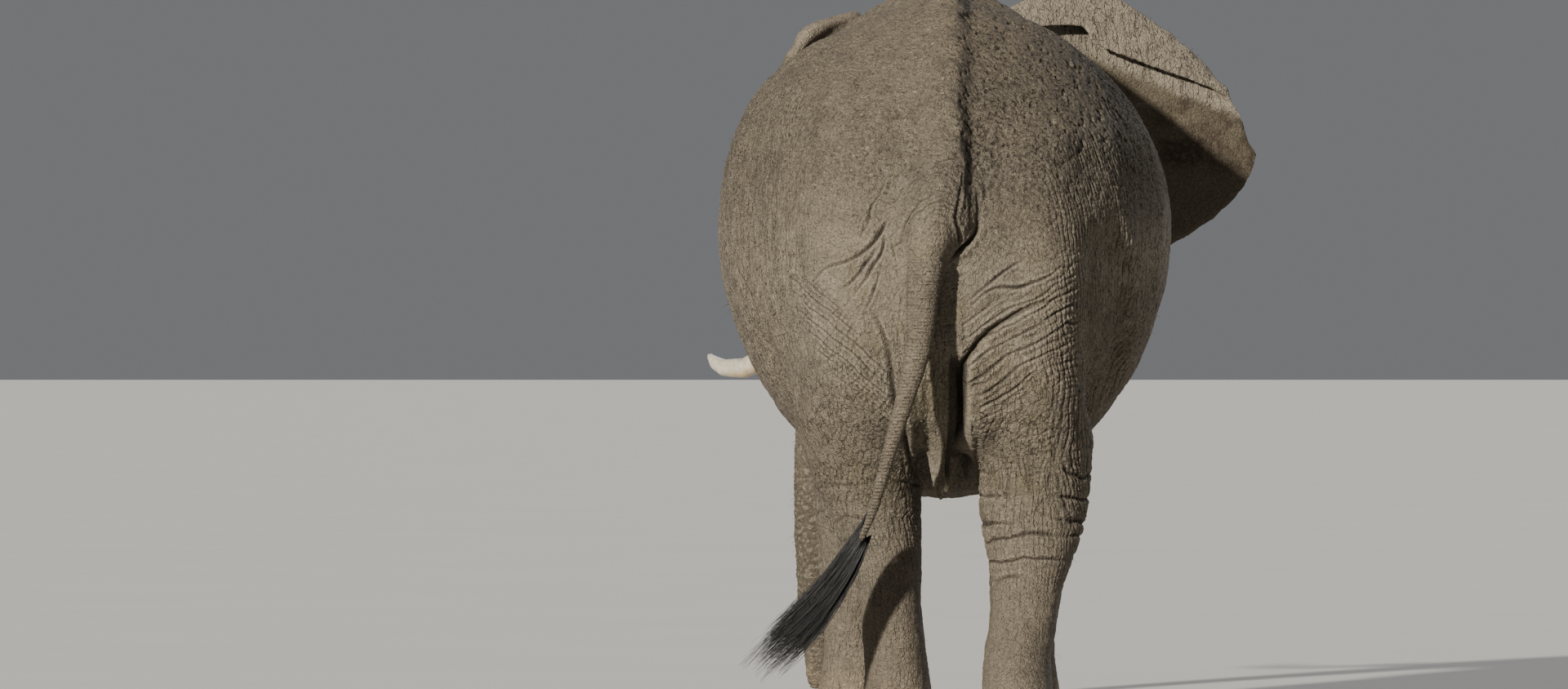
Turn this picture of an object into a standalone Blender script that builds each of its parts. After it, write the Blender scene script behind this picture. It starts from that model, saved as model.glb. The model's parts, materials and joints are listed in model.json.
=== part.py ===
"""A life-size African savanna elephant: an adult cow in mid walk, her head turned to her left.

Frame: metres, +Z up, the floor at z = 0. The animal faces -Y and her left side is +X.
Stations along the body run forward from the rear of the rump, so y = -station until the
finished model is centred on its bounding box.

The flesh is modelled as one body from lofted forms, which are remeshed, smoothed, reduced and
then parted with thin cuts. Ears, tusks, eyes, nails and the free tail are fitted against it.
"""

import math

import bmesh
import bpy
import numpy as np
from mathutils import Matrix, Vector

# Driving dimensions
SHOULDER_HEIGHT = 2.60
CROUP_HEIGHT = 2.50
BARREL_HALF_WIDTH = 0.79
BELLY_HEIGHT = 0.79
HEAD_YAW = math.radians(20)
HIP_LIFT = math.tan(math.radians(5))
NECK_PIVOT = Vector((0.05, -2.35, 0.0))
EAR_THICKNESS = 0.024
EYE_RADIUS = 0.021
GAP = 0.0004

UP = Vector((0, 0, 1))

# How finely the forms are made
RING_POINTS = 32
VOXEL = 0.014
SMOOTH_STEPS = 18
FLESH_TRIANGLES = 2900
EAR_VOXEL = 0.006
EAR_TRIANGLES = 560
GROUND_DEPTH = 0.5
SHARP_ANGLE = math.radians(50)
HIND_PITCH = math.radians(30)

MATERIALS = {
    "skin": ((0.20, 0.17, 0.135), 0.85),
    "hair": ((0.02, 0.02, 0.022), 0.6),
    "ivory": ((0.78, 0.71, 0.56), 0.35),
    "eye": ((0.05, 0.025, 0.012), 0.08),
    "nail": ((0.36, 0.31, 0.25), 0.6),
}


def profile(landmarks):
    """A smooth curve through (place, value) landmarks that never overshoots them."""
    places = np.array([row[0] for row in landmarks], float)
    values = np.array([row[1] for row in landmarks], float)
    steps = np.diff(places)
    slopes = np.diff(values) / steps
    tangents = np.zeros(len(places))
    for i in range(1, len(places) - 1):
        if slopes[i - 1] * slopes[i] > 0:
            before, after = 2 * steps[i] + steps[i - 1], steps[i] + 2 * steps[i - 1]
            tangents[i] = (before + after) / (before / slopes[i - 1] + after / slopes[i])
    tangents[0], tangents[-1] = slopes[0], slopes[-1]

    def value_at(place):
        place = min(max(place, places[0]), places[-1])
        i = min(int(np.searchsorted(places, place, side="right")) - 1, len(steps) - 1)
        t = (place - places[i]) / steps[i]
        return float(
            values[i] * (1 + 2 * t) * (1 - t) ** 2
            + tangents[i] * steps[i] * t * (1 - t) ** 2
            + values[i + 1] * t * t * (3 - 2 * t)
            + tangents[i + 1] * steps[i] * t * t * (t - 1)
        )

    return value_at


def profiles(rows):
    """One profile for each column after the first of a table of sections."""
    return [profile([(row[0], row[i]) for row in rows]) for i in range(1, len(rows[0]))]


def ring(centre, side, up, half_width, rise, drop, sides=RING_POINTS, fullness=2.0):
    """The points of one section: an oval with its own height above and below its centre.

    Above 2, the fullness squares the shoulders of the part above the centre.
    """
    points = []
    for i in range(sides):
        angle = 2 * math.pi * i / sides
        across, along = math.cos(angle), math.sin(angle)
        power = 2 / (fullness if along > 0 else 2.0)
        across = math.copysign(abs(across) ** power, across)
        height = rise * along**power if along > 0 else drop * along
        points.append(centre + side * half_width * across + up * height)
    return points


def loft(rings):
    """A closed skin over a row of sections, as a bmesh."""
    form = bmesh.new()
    rows = [[form.verts.new(point) for point in points] for points in rings]
    for low, high in zip(rows, rows[1:]):
        for i in range(len(low)):
            j = (i + 1) % len(low)
            form.faces.new((low[i], low[j], high[j], high[i]))
    form.faces.new(rows[0][::-1])
    form.faces.new(rows[-1])
    bmesh.ops.recalc_face_normals(form, faces=form.faces)
    return form


def ellipsoid(centre, radii, segments=24):
    form = bmesh.new()
    bmesh.ops.create_uvsphere(form, u_segments=segments, v_segments=segments * 2 // 3, radius=1)
    bmesh.ops.transform(form, matrix=Matrix.Diagonal((*radii, 1)), verts=form.verts)
    bmesh.ops.translate(form, vec=centre, verts=form.verts)
    return form


def tube(path, frames_up, rows, count, sides=RING_POINTS):
    """A loft whose sections stand square to a path. rows: (share of the path, width, rise, drop)."""
    width, rise, drop = profiles(rows)
    rings = []
    for i in range(count + 1):
        share = i / count
        ahead, behind = path(min(1, share + 0.01)), path(max(0, share - 0.01))
        tangent = (ahead - behind).normalized()
        side = tangent.cross(frames_up).normalized()
        up = side.cross(tangent)
        rings.append(ring(path(share), side, up, width(share), rise(share), drop(share), sides))
    return loft(rings)


def head_to_body(point):
    """A point given as (to the left, forward of the neck pivot, height) in the turned head."""
    left, forward, height = point
    turn = Matrix.Rotation(HEAD_YAW, 4, "Z")
    return turn @ Vector((left, -forward, 0)) + NECK_PIVOT + Vector((0, 0, height))


# ---------------------------------------------------------------------------- the body's forms

# station, half width, top, widest height, bottom
TRUNK_OF_BODY = [
    (0.00, 0.16, 1.78, 1.62, 1.40),
    (0.05, 0.33, 1.90, 1.60, 1.18),
    (0.15, 0.47, 2.07, 1.62, 1.02),
    (0.32, 0.58, 2.28, 1.66, 0.97),
    (0.52, 0.655, 2.43, 1.70, 0.91),
    (0.75, 0.71, CROUP_HEIGHT, 1.73, 0.86),
    (1.05, 0.77, 2.47, 1.75, 0.81),
    (1.32, BARREL_HALF_WIDTH, 2.43, 1.75, BELLY_HEIGHT),
    (1.62, 0.75, 2.45, 1.75, 0.83),
    (1.88, 0.655, 2.54, 1.75, 0.92),
    (2.10, 0.555, SHOULDER_HEIGHT, 1.76, 1.04),
    (2.28, 0.450, 2.57, 1.82, 1.20),
    (2.44, 0.365, 2.51, 1.90, 1.38),
    (2.60, 0.315, 2.48, 1.93, 1.50),
]
NECK_START, NECK_END = 2.05, 2.60
HIP_LIFT_END = 2.0
BACK_FULLNESS = 2.2
SPINE_RIDGE_WIDTH = 0.075
SPINE_RIDGE = profile([(0, 0.0), (0.1, 0.03), (0.6, 0.035), (1.2, 0.015), (2.1, 0.03), (2.6, 0)])


def barrel():
    """The body from the rump to the neck, which bends to the left as it nears the head."""
    half_width, top, widest, bottom = profiles(TRUNK_OF_BODY)
    count = 44
    rings = []
    for i in range(count + 1):
        station = NECK_END * (1 - math.cos(math.pi * i / count)) / 2
        bend = max(0.0, (station - NECK_START) / (NECK_END - NECK_START))
        yaw = HEAD_YAW * bend * bend * (3 - 2 * bend)
        lift = HIP_LIFT * max(0.0, 1 - station / HIP_LIFT_END)
        centre = Vector((0.06 * bend * bend, -station, widest(station)))
        side = Matrix.Rotation(yaw, 3, "Z") @ Vector((1, 0, 0))
        rise, drop = top(station) - widest(station), widest(station) - bottom(station)
        points = ring(centre, side, UP, half_width(station), rise, drop, fullness=BACK_FULLNESS)
        for point in points:
            off_middle = (point - centre).dot(side)
            share_up = (point.z - centre.z) / rise
            if share_up > 0:
                ridge = math.exp(-((off_middle / SPINE_RIDGE_WIDTH) ** 2))
                point.z += SPINE_RIDGE(station) * ridge + lift * off_middle * min(1, 2 * share_up)
        rings.append(points)
    return loft(rings)


def limb(rows, side, count=30):
    """A leg from its table of level sections: height, off the middle, station, half width, depth."""
    off, station, half_width, half_depth = profiles(sorted(rows))
    low, high = min(row[0] for row in rows), max(row[0] for row in rows)
    across, ahead = Vector((1, 0, 0)), Vector((0, -1, 0))
    rings = []
    for i in range(count + 1):
        height = low + (high - low) * i / count
        centre = Vector((side * off(height), -station(height), height))
        depth = half_depth(height)
        rings.append(ring(centre, across, ahead, half_width(height), depth, depth))
    return loft(rings)


# height, off the middle, station, half width, half depth
LEFT, RIGHT = 1, -1
HIND_LEFT = [
    (2.05, 0.24, 0.52, 0.24, 0.38),
    (1.75, 0.27, 0.50, 0.28, 0.45),
    (1.50, 0.275, 0.50, 0.275, 0.46),
    (1.30, 0.28, 0.53, 0.26, 0.43),
    (1.10, 0.285, 0.58, 0.235, 0.36),
    (0.95, 0.28, 0.62, 0.205, 0.29),
    (0.83, 0.26, 0.63, 0.172, 0.235),
    (0.70, 0.235, 0.61, 0.145, 0.19),
    (0.58, 0.208, 0.58, 0.118, 0.155),
    (0.42, 0.19, 0.56, 0.100, 0.135),
    (0.30, 0.18, 0.56, 0.103, 0.137),
    (0.20, 0.17, 0.575, 0.114, 0.155),
    (0.10, 0.168, 0.60, 0.128, 0.18),
    (-0.03, 0.168, 0.61, 0.135, 0.195),
]
HIND_RIGHT = [
    (2.05, 0.24, 0.52, 0.24, 0.38),
    (1.75, 0.265, 0.47, 0.27, 0.45),
    (1.50, 0.265, 0.45, 0.262, 0.45),
    (1.30, 0.262, 0.45, 0.245, 0.42),
    (1.10, 0.275, 0.46, 0.218, 0.35),
    (0.96, 0.285, 0.46, 0.203, 0.285),
    (0.85, 0.288, 0.44, 0.194, 0.24),
    (0.72, 0.282, 0.375, 0.176, 0.195),
    (0.61, 0.270, 0.315, 0.142, 0.16),
    (0.52, 0.258, 0.265, 0.120, 0.14),
    (0.42, 0.245, 0.215, 0.110, 0.13),
    (0.34, 0.234, 0.195, 0.108, 0.13),
    (0.26, 0.226, 0.19, 0.105, 0.125),
]
FORE_LEFT = [
    (1.85, 0.30, 2.02, 0.20, 0.27),
    (1.60, 0.345, 2.03, 0.205, 0.30),
    (1.35, 0.355, 2.01, 0.19, 0.275),
    (1.15, 0.345, 1.98, 0.168, 0.235),
    (1.00, 0.335, 1.99, 0.148, 0.19),
    (0.80, 0.32, 2.03, 0.126, 0.152),
    (0.62, 0.312, 2.075, 0.120, 0.135),
    (0.50, 0.308, 2.095, 0.119, 0.131),
    (0.35, 0.303, 2.10, 0.108, 0.12),
    (0.22, 0.30, 2.11, 0.118, 0.132),
    (0.10, 0.30, 2.13, 0.142, 0.162),
    (-0.03, 0.30, 2.14, 0.152, 0.175),
]
FORE_RIGHT = [
    (1.85, 0.30, 2.00, 0.20, 0.27),
    (1.60, 0.345, 1.99, 0.205, 0.30),
    (1.35, 0.35, 1.95, 0.19, 0.275),
    (1.15, 0.34, 1.90, 0.168, 0.235),
    (1.00, 0.325, 1.86, 0.148, 0.19),
    (0.80, 0.305, 1.82, 0.126, 0.152),
    (0.62, 0.292, 1.785, 0.120, 0.135),
    (0.50, 0.286, 1.76, 0.119, 0.131),
    (0.35, 0.281, 1.715, 0.108, 0.12),
    (0.22, 0.28, 1.69, 0.118, 0.132),
    (0.10, 0.28, 1.70, 0.142, 0.162),
    (-0.03, 0.28, 1.71, 0.152, 0.175),
]
# The right hind foot stands on its toes: its sections in its own frame, then its tilt.
TOE_FOOT = [
    (0.30, 0.0, -0.045, 0.107, 0.125),
    (0.20, 0.0, -0.02, 0.114, 0.150),
    (0.10, 0.0, 0.0, 0.126, 0.178),
    (0.0, 0.0, 0.008, 0.132, 0.190),
]
TOE_FOOT_TILT = math.radians(24)
TOE_FOOT_PIVOT = Vector((-0.222, -0.235, 0.0))
TOE_CONTACT = 0.135


def toe_foot_place():
    """Where the right hind foot stands at push-off: its heel turned up about its toes."""
    tilt = Matrix.Rotation(TOE_FOOT_TILT, 4, "X")
    return Matrix.Translation(TOE_FOOT_PIVOT) @ tilt @ Matrix.Translation((0, TOE_CONTACT, 0))


def toe_foot():
    form = limb(TOE_FOOT, LEFT, count=12)
    bmesh.ops.transform(form, matrix=toe_foot_place(), verts=form.verts)
    return form


# height, off the middle, station, half width, half depth
PERINEUM = [
    (1.62, 0.0, 0.16, 0.10, 0.13),
    (1.40, 0.0, 0.20, 0.085, 0.13),
    (1.15, 0.005, 0.26, 0.075, 0.13),
    (0.98, 0.015, 0.30, 0.070, 0.11),
    (0.87, 0.025, 0.31, 0.055, 0.075),
    (0.77, 0.035, 0.31, 0.018, 0.025),
]


# ------------------------------------------------------------------------- the head's forms

# forward of the neck pivot, half width, top, widest height, bottom
SKULL = [
    (-0.10, 0.27, 2.42, 1.98, 1.55),
    (0.00, 0.285, 2.47, 1.98, 1.54),
    (0.14, 0.305, 2.535, 1.97, 1.53),
    (0.28, 0.310, 2.55, 1.95, 1.53),
    (0.42, 0.298, 2.49, 1.93, 1.56),
    (0.54, 0.270, 2.37, 1.92, 1.62),
    (0.64, 0.225, 2.22, 1.90, 1.68),
    (0.72, 0.150, 2.05, 1.88, 1.74),
]
# left of the head's middle, forward, height of the trunk's middle line
TRUNK_LINE = [
    (0.0, 0.0, 0.40, 2.22),
    (0.14, 0.0, 0.54, 1.98),
    (0.26, 0.0, 0.65, 1.74),
    (0.38, 0.018, 0.735, 1.50),
    (0.50, 0.050, 0.785, 1.24),
    (0.62, 0.092, 0.80, 0.98),
    (0.74, 0.117, 0.79, 0.72),
    (0.86, 0.130, 0.775, 0.45),
    (0.95, 0.110, 0.79, 0.20),
    (1.0, 0.085, 0.85, 0.065),
]
# share of that line, half width, front, back
TRUNK_GIRTH = [
    (0.0, 0.17, 0.16, 0.16),
    (0.14, 0.205, 0.19, 0.18),
    (0.26, 0.195, 0.165, 0.16),
    (0.38, 0.165, 0.150, 0.135),
    (0.50, 0.138, 0.130, 0.120),
    (0.62, 0.118, 0.115, 0.105),
    (0.74, 0.100, 0.098, 0.090),
    (0.86, 0.082, 0.082, 0.076),
    (0.95, 0.070, 0.070, 0.064),
    (1.0, 0.062, 0.056, 0.050),
]
# share of the jaw, then its middle line forward and height, half width, half height
JAW = [
    (0.0, 0.08, 1.66, 0.225, 0.17),
    (0.3, 0.24, 1.585, 0.200, 0.145),
    (0.6, 0.42, 1.50, 0.135, 0.115),
    (0.85, 0.56, 1.425, 0.075, 0.075),
    (1.0, 0.645, 1.375, 0.032, 0.032),
]
TUSK_SOCKET_TOP = (0.135, 0.60, 1.88)
TUSK_LIP = (0.175, 0.80, 1.515)
TUSK_SOCKET_GIRTH = [(0.0, 0.10, 0.10, 0.10), (0.6, 0.092, 0.092, 0.092), (1.0, 0.068, 0.068, 0.068)]


def skull():
    half_width, top, widest, bottom = profiles(SKULL)
    first, last = SKULL[0][0], SKULL[-1][0]
    turn = Matrix.Rotation(HEAD_YAW, 3, "Z")
    side, up = turn @ Vector((1, 0, 0)), Vector((0, 0, 1))
    rings = []
    count = 20
    for i in range(count + 1):
        forward = first + (last - first) * math.sin(math.pi / 2 * i / count)
        centre = head_to_body((0, forward, widest(forward)))
        rise, drop = top(forward) - widest(forward), widest(forward) - bottom(forward)
        rings.append(ring(centre, side, up, half_width(forward), rise, drop))
    return loft(rings)


def trunk():
    left, forward, height = profiles(TRUNK_LINE)

    def line(share):
        return head_to_body((left(share), forward(share), height(share)))

    ahead = head_to_body((0, 1, 0)) - head_to_body((0, 0, 0))
    return tube(line, ahead, TRUNK_GIRTH, 44)


def jaw():
    forward, height, half_width, half_height = profiles(JAW)

    def line(share):
        return head_to_body((0, forward(share), height(share)))

    rows = [(row[0], row[3], row[4], row[4]) for row in JAW]
    return tube(line, Vector((0, 0, 1)), rows, 16)


def tusk_socket(side):
    top = head_to_body((side * TUSK_SOCKET_TOP[0], *TUSK_SOCKET_TOP[1:]))
    lip = head_to_body((side * TUSK_LIP[0], *TUSK_LIP[1:]))
    return tube(lambda share: top.lerp(lip, share), Vector((1, 0, 0)), TUSK_SOCKET_GIRTH, 10)


def head_lump(left, forward, height, radii):
    """An oval of flesh or bone on the head, turned with it."""
    form = ellipsoid((0, 0, 0), radii)
    place = Matrix.Translation(head_to_body((left, forward, height)))
    turn = Matrix.Rotation(HEAD_YAW, 4, "Z")
    bmesh.ops.transform(form, matrix=place @ turn, verts=form.verts)
    return form


def face_lumps():
    forms = [head_lump(0, 0.55, 1.62, (0.13, 0.16, 0.11))]
    for side in (LEFT, RIGHT):
        forms.append(head_lump(side * 0.20, 0.22, 1.80, (0.125, 0.24, 0.24)))
        forms.append(head_lump(side * 0.215, 0.46, 2.03, (0.075, 0.13, 0.07)))
        forms.append(head_lump(side * 0.26, 0.10, 2.08, (0.07, 0.12, 0.33)))
    return forms


# ------------------------------------------------------------------------------ the tail

# share of the tail, off the middle, station, height, radius
TAIL = [
    (0.00, 0.024, 0.17, 2.04, 0.085),
    (0.10, 0.044, 0.060, 1.87, 0.086),
    (0.20, 0.074, -0.035, 1.70, 0.075),
    (0.32, 0.094, -0.078, 1.52, 0.056),
    (0.45, 0.108, -0.095, 1.34, 0.045),
    (0.60, 0.158, -0.080, 1.14, 0.035),
    (0.75, 0.213, -0.010, 0.95, 0.027),
    (0.90, 0.262, 0.090, 0.77, 0.020),
    (1.00, 0.300, 0.150, 0.68, 0.016),
]
# share of the ridge over the sacrum, off the middle, station, height, radius
SACRUM = [
    (0.0, 0.0, 0.64, 2.385, 0.075),
    (0.3, 0.008, 0.43, 2.285, 0.085),
    (0.6, 0.018, 0.26, 2.14, 0.090),
    (0.8, 0.028, 0.165, 2.01, 0.090),
    (1.0, 0.044, 0.075, 1.86, 0.088),
]
TAIL_ROOT_END, TAIL_CUT, TAIL_MIDDLE = 0.36, 0.26, 0.62
TAIL_SIDES = 10
TAIL_STUMP_CELL = (Vector((0.075, 0.255, 1.36)), (0.5, 0.5, 0.5), Matrix.Identity(4))
# share of the tuft, half breadth, half thickness
TUFT = [(0.0, 0.018, 0.016), (0.2, 0.045, 0.024), (0.5, 0.062, 0.028), (0.8, 0.060, 0.022), (1, 0.03, 0.008)]
TUFT_START = Vector((0.290, -0.136, 0.700))
TUFT_MIDDLE = Vector((0.400, -0.200, 0.490))
TUFT_END = Vector((0.640, -0.220, 0.235))


def tail_line(share):
    off, station, height, _ = profiles(TAIL)
    return Vector((off(share), -station(share), height(share)))


def tail_length(first, last, count, sides=TAIL_SIDES, swell=1.0):
    """The tail between two shares of its length."""
    radius = profiles(TAIL)[3]
    rows = []
    for i in range(11):
        girth = swell * radius(first + (last - first) * i / 10)
        rows.append((i / 10, girth, girth, girth))

    def line(share):
        return tail_line(first + (last - first) * share)

    return tube(line, Vector((0, 1, 0)), rows, count, sides)


def sacral_ridge():
    """The low ridge over the sacrum that runs down the croup into the tail."""
    off, station, height, radius = profiles(SACRUM)

    def line(share):
        return Vector((off(share), -station(share), height(share)))

    rows = [(share, girth, girth, girth) for share, girth in ((i / 8, radius(i / 8)) for i in range(9))]
    return tube(line, Vector((1, 0, 0)), rows, 12)


def tuft_form():
    """The hair at the tail's end as one flat brush that sweeps out to the left."""

    def line(share):
        return TUFT_START.lerp(TUFT_MIDDLE, share).lerp(TUFT_MIDDLE.lerp(TUFT_END, share), share)

    rows = [(share, breadth, thick, thick) for share, breadth, thick in TUFT]
    return tube(line, Vector((0, 1, 0)), rows, 6, TAIL_SIDES)


# ------------------------------------------------------------------------------ the ears

# The ear seen flat, measured out from its root and up from its middle: the lower lobe first, then
# round the outer margin to the crest above the root. The last value is how far the ear goes on
# past that outline, folded over and hanging down behind.
EAR_OUTLINE = [
    (0.07, -0.56, 0.004),
    (0.14, -0.635, 0.006),
    (0.25, -0.66, 0.010),
    (0.38, -0.58, 0.010),
    (0.52, -0.46, 0.010),
    (0.66, -0.365, 0.010),
    (0.80, -0.285, 0.010),
    (0.91, -0.215, 0.010),
    (1.00, -0.10, 0.010),
    (1.035, -0.01, 0.012),
    (0.985, 0.07, 0.015),
    (0.935, 0.165, 0.05),
    (0.87, 0.27, 0.14),
    (0.80, 0.345, 0.23),
    (0.71, 0.43, 0.29),
    (0.60, 0.505, 0.32),
    (0.50, 0.555, 0.24),
    (0.42, 0.58, 0.29),
    (0.30, 0.575, 0.26),
    (0.16, 0.535, 0.16),
    (0.07, 0.49, 0.05),
]
EAR_ROOT_BOTTOM, EAR_ROOT_TOP = -0.40, 0.36
EAR_ROOT_HEIGHT = 2.02
FOLD_RADIUS = 0.022
FOLD_FLARE = math.radians(12)
EAR_COLUMNS, EAR_ROWS, FLAP_ROWS = 24, 6, 5
# out along the laid-back ear, then how far left of the middle and how far back it has got
LAID_BACK = [
    (0.0, 0.300, 2.36),
    (0.2, 0.510, 2.26),
    (0.4, 0.622, 2.12),
    (0.6, 0.675, 1.96),
    (0.8, 0.730, 1.79),
    (1.05, 0.780, 1.60),
]


def ear_outline(share):
    """Out, up and the folded length beyond, at a share of the way round the ear."""
    places = [i / (len(EAR_OUTLINE) - 1) for i in range(len(EAR_OUTLINE))]
    return [profile([(place, row[i]) for place, row in zip(places, EAR_OUTLINE)])(share) for i in range(3)]


def ear_line(share):
    """Points of the ear from its root to its margin and on round the fold, as (out, up, behind)."""
    out, up, flap = ear_outline(share)
    root = np.array((0.0, EAR_ROOT_BOTTOM + (EAR_ROOT_TOP - EAR_ROOT_BOTTOM) * share))
    edge = np.array((out, up))
    away = (edge - root) / np.linalg.norm(edge - root)
    points = []
    for row in range(EAR_ROWS + 1):
        points.append((*(root + (edge - root) * row / EAR_ROWS), 0.0))
    for row in range(1, FLAP_ROWS + 1):
        past = flap * row / FLAP_ROWS
        turn = min(past / FOLD_RADIUS, math.pi - FOLD_FLARE)
        beyond = max(0.0, past - (math.pi - FOLD_FLARE) * FOLD_RADIUS)
        shift = FOLD_RADIUS * math.sin(turn) - beyond * math.cos(FOLD_FLARE)
        behind = FOLD_RADIUS * (1 - math.cos(turn)) + beyond * math.sin(FOLD_FLARE)
        points.append((*(edge + away * shift), behind))
    return points


def spread_ear(out, up, behind):
    """The right ear stands out from the head, swept back a little and cupped."""
    sweep = math.radians(8)
    root_side = min(1, out / 0.2)
    cup = root_side * (0.04 * math.sin(math.pi * min(1, out)) + 0.012 * math.sin(9 * up + 5 * out))
    left = -(0.245 + out * math.cos(sweep))
    forward = 0.10 - out * math.sin(sweep) + cup - behind
    return head_to_body((left, forward, EAR_ROOT_HEIGHT + up))


def laid_back_ear(out, up, behind):
    """The left ear lies back along the neck and shoulder, its crest leaning in over them."""
    side, station = profiles(LAID_BACK)
    height = EAR_ROOT_HEIGHT + 0.06 + 0.95 * up - 0.50 * out
    off_root = min(1, out / 0.2)
    lean = off_root * (0.45 * max(0.0, height - 2.0) ** 1.2 + 0.25 * max(0.0, 1.75 - height) ** 1.5)
    ripple = off_root * 0.012 * math.sin(8 * up + 4 * out)
    return Vector((side(out) - lean + ripple - 0.6 * behind, -station(out) + 0.5 * behind, height))


def ear_form(place):
    """An ear as a sheet between its root and the end of its fold."""
    sheet = bmesh.new()
    grid = []
    for column in range(EAR_COLUMNS + 1):
        grid.append([sheet.verts.new(place(*point)) for point in ear_line(column / EAR_COLUMNS)])
    for first, second in zip(grid, grid[1:]):
        for row in range(EAR_ROWS + FLAP_ROWS):
            sheet.faces.new((first[row], first[row + 1], second[row + 1], second[row]))
    return sheet


# ---------------------------------------------------------------------- tusks, eyes and nails

TUSK_LINE = [
    (0.0, 0.150, 0.69, 1.70),
    (0.18, 0.172, 0.79, 1.535),
    (0.34, 0.192, 0.90, 1.41),
    (0.52, 0.220, 1.05, 1.305),
    (0.70, 0.252, 1.215, 1.245),
    (0.85, 0.280, 1.355, 1.245),
    (1.0, 0.302, 1.470, 1.295),
]
TUSK_SIDES = 10
TUSK_RADIUS = [(0.0, 0.046), (0.3, 0.045), (0.6, 0.041), (0.85, 0.033), (0.96, 0.021), (1.0, 0.008)]
EYE_FORWARD, EYE_HEIGHT = 0.49, 1.955
EYE_SUNK = 0.011
NAIL_RADII = (0.046, 0.016, 0.046)
NAIL_HEIGHT = 0.05
NAIL_SEGMENTS = 7
# where a foot stands, its half width and depth at the nails, their number and spread
FORE_NAILS = (0.146, 0.166, 4, 118)
HIND_NAILS = (0.130, 0.184, 3, 88)
FEET = [
    ("fore_left", Matrix.Translation((0.30, -2.135, 0)), FORE_NAILS),
    ("fore_right", Matrix.Translation((-0.28, -1.705, 0)), FORE_NAILS),
    ("hind_left", Matrix.Translation((0.168, -0.605, 0)), HIND_NAILS),
    ("hind_right", toe_foot_place(), HIND_NAILS),
]


def tusk_form(side):
    left, forward, height = profiles(TUSK_LINE)
    radius = profile(TUSK_RADIUS)
    rows = [(i / 20, *(radius(i / 20),) * 3) for i in range(21)]

    def line(share):
        return head_to_body((side * left(share), forward(share), height(share)))

    return tube(line, Vector((0, 0, 1)), rows, 13, TUSK_SIDES)


def nail_form(bearing, half_width, half_depth):
    """One toenail on the front of a foot whose middle is at the origin."""
    form = ellipsoid((0, 0, 0), NAIL_RADII, NAIL_SEGMENTS)
    turn = math.radians(bearing)
    place = Vector((half_width * math.sin(turn), -half_depth * math.cos(turn), NAIL_HEIGHT))
    facing = Matrix.Rotation(math.atan2(place.x / half_width**2, -place.y / half_depth**2), 4, "Z")
    bmesh.ops.transform(form, matrix=Matrix.Translation(place) @ facing, verts=form.verts)
    return form


# ------------------------------------------------------------------------ making the objects


def material(name):
    found = bpy.data.materials.get(name)
    if found:
        return found
    made = bpy.data.materials.new(name)
    made.use_nodes = True
    shader = made.node_tree.nodes["Principled BSDF"]
    colour, roughness = MATERIALS[name]
    shader.inputs["Base Color"].default_value = (*colour, 1)
    shader.inputs["Roughness"].default_value = roughness
    shader.inputs["Metallic"].default_value = 0
    return made


def add_object(name, form, collection, slot="skin"):
    """An object from a bmesh, which is freed."""
    mesh = bpy.data.meshes.new(name)
    form.to_mesh(mesh)
    form.free()
    mesh.materials.append(material(slot))
    made = bpy.data.objects.new(name, mesh)
    collection.objects.link(made)
    return made


def settle(target):
    """Replaces an object's mesh with its evaluated one and drops its modifiers."""
    graph = bpy.context.evaluated_depsgraph_get()
    mesh = bpy.data.meshes.new_from_object(target.evaluated_get(graph))
    target.modifiers.clear()
    target.data = mesh
    return target


def boolean(target, cutter, operation):
    step = target.modifiers.new(operation.lower(), "BOOLEAN")
    step.operation = operation
    step.object = cutter
    return settle(target)


def triangles_in(mesh):
    mesh.calc_loop_triangles()
    return len(mesh.loop_triangles)


def remesh_and_reduce(target, voxel, smooth_steps, triangles):
    """One even skin round everything in a mesh, smoothed and then made coarse."""
    remesh = target.modifiers.new("remesh", "REMESH")
    remesh.mode = "VOXEL"
    remesh.voxel_size = voxel
    smooth = target.modifiers.new("smooth", "SMOOTH")
    smooth.factor = 0.5
    smooth.iterations = smooth_steps
    settle(target)
    reduce = target.modifiers.new("reduce", "DECIMATE")
    reduce.ratio = triangles / triangles_in(target.data)
    return settle(target)


def keep_largest(target):
    """Drops the loose scraps that a cut leaves, keeping the largest body."""
    form = bmesh.new()
    form.from_mesh(target.data)
    left, bodies = set(form.verts), []
    while left:
        body, front = set(), [left.pop()]
        while front:
            vertex = front.pop()
            body.add(vertex)
            for edge in vertex.link_edges:
                other = edge.other_vert(vertex)
                if other in left:
                    left.remove(other)
                    front.append(other)
        bodies.append(body)
    for body in sorted(bodies, key=len)[:-1]:
        bmesh.ops.delete(form, geom=list(body), context="VERTS")
    form.to_mesh(target.data)
    form.free()


def whole_flesh(collection):
    """Every form of flesh joined, remeshed, smoothed, set flat on the floor and reduced."""
    forms = [barrel(), skull(), trunk(), jaw(), toe_foot(), limb(PERINEUM, LEFT)]
    forms += [limb(HIND_LEFT, LEFT), limb(HIND_RIGHT, RIGHT)]
    forms += [limb(FORE_LEFT, LEFT), limb(FORE_RIGHT, RIGHT)]
    forms += [tusk_socket(LEFT), tusk_socket(RIGHT), tail_length(0, TAIL_ROOT_END, 12, RING_POINTS, 1.08)]
    forms += [sacral_ridge()] + face_lumps()
    joined = bmesh.new()
    for form in forms:
        part = bpy.data.meshes.new("form")
        form.to_mesh(part)
        form.free()
        joined.from_mesh(part)
        bpy.data.meshes.remove(part)
    flesh = add_object("flesh", joined, collection)
    return remesh_and_reduce(flesh, VOXEL, SMOOTH_STEPS, FLESH_TRIANGLES)


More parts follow.
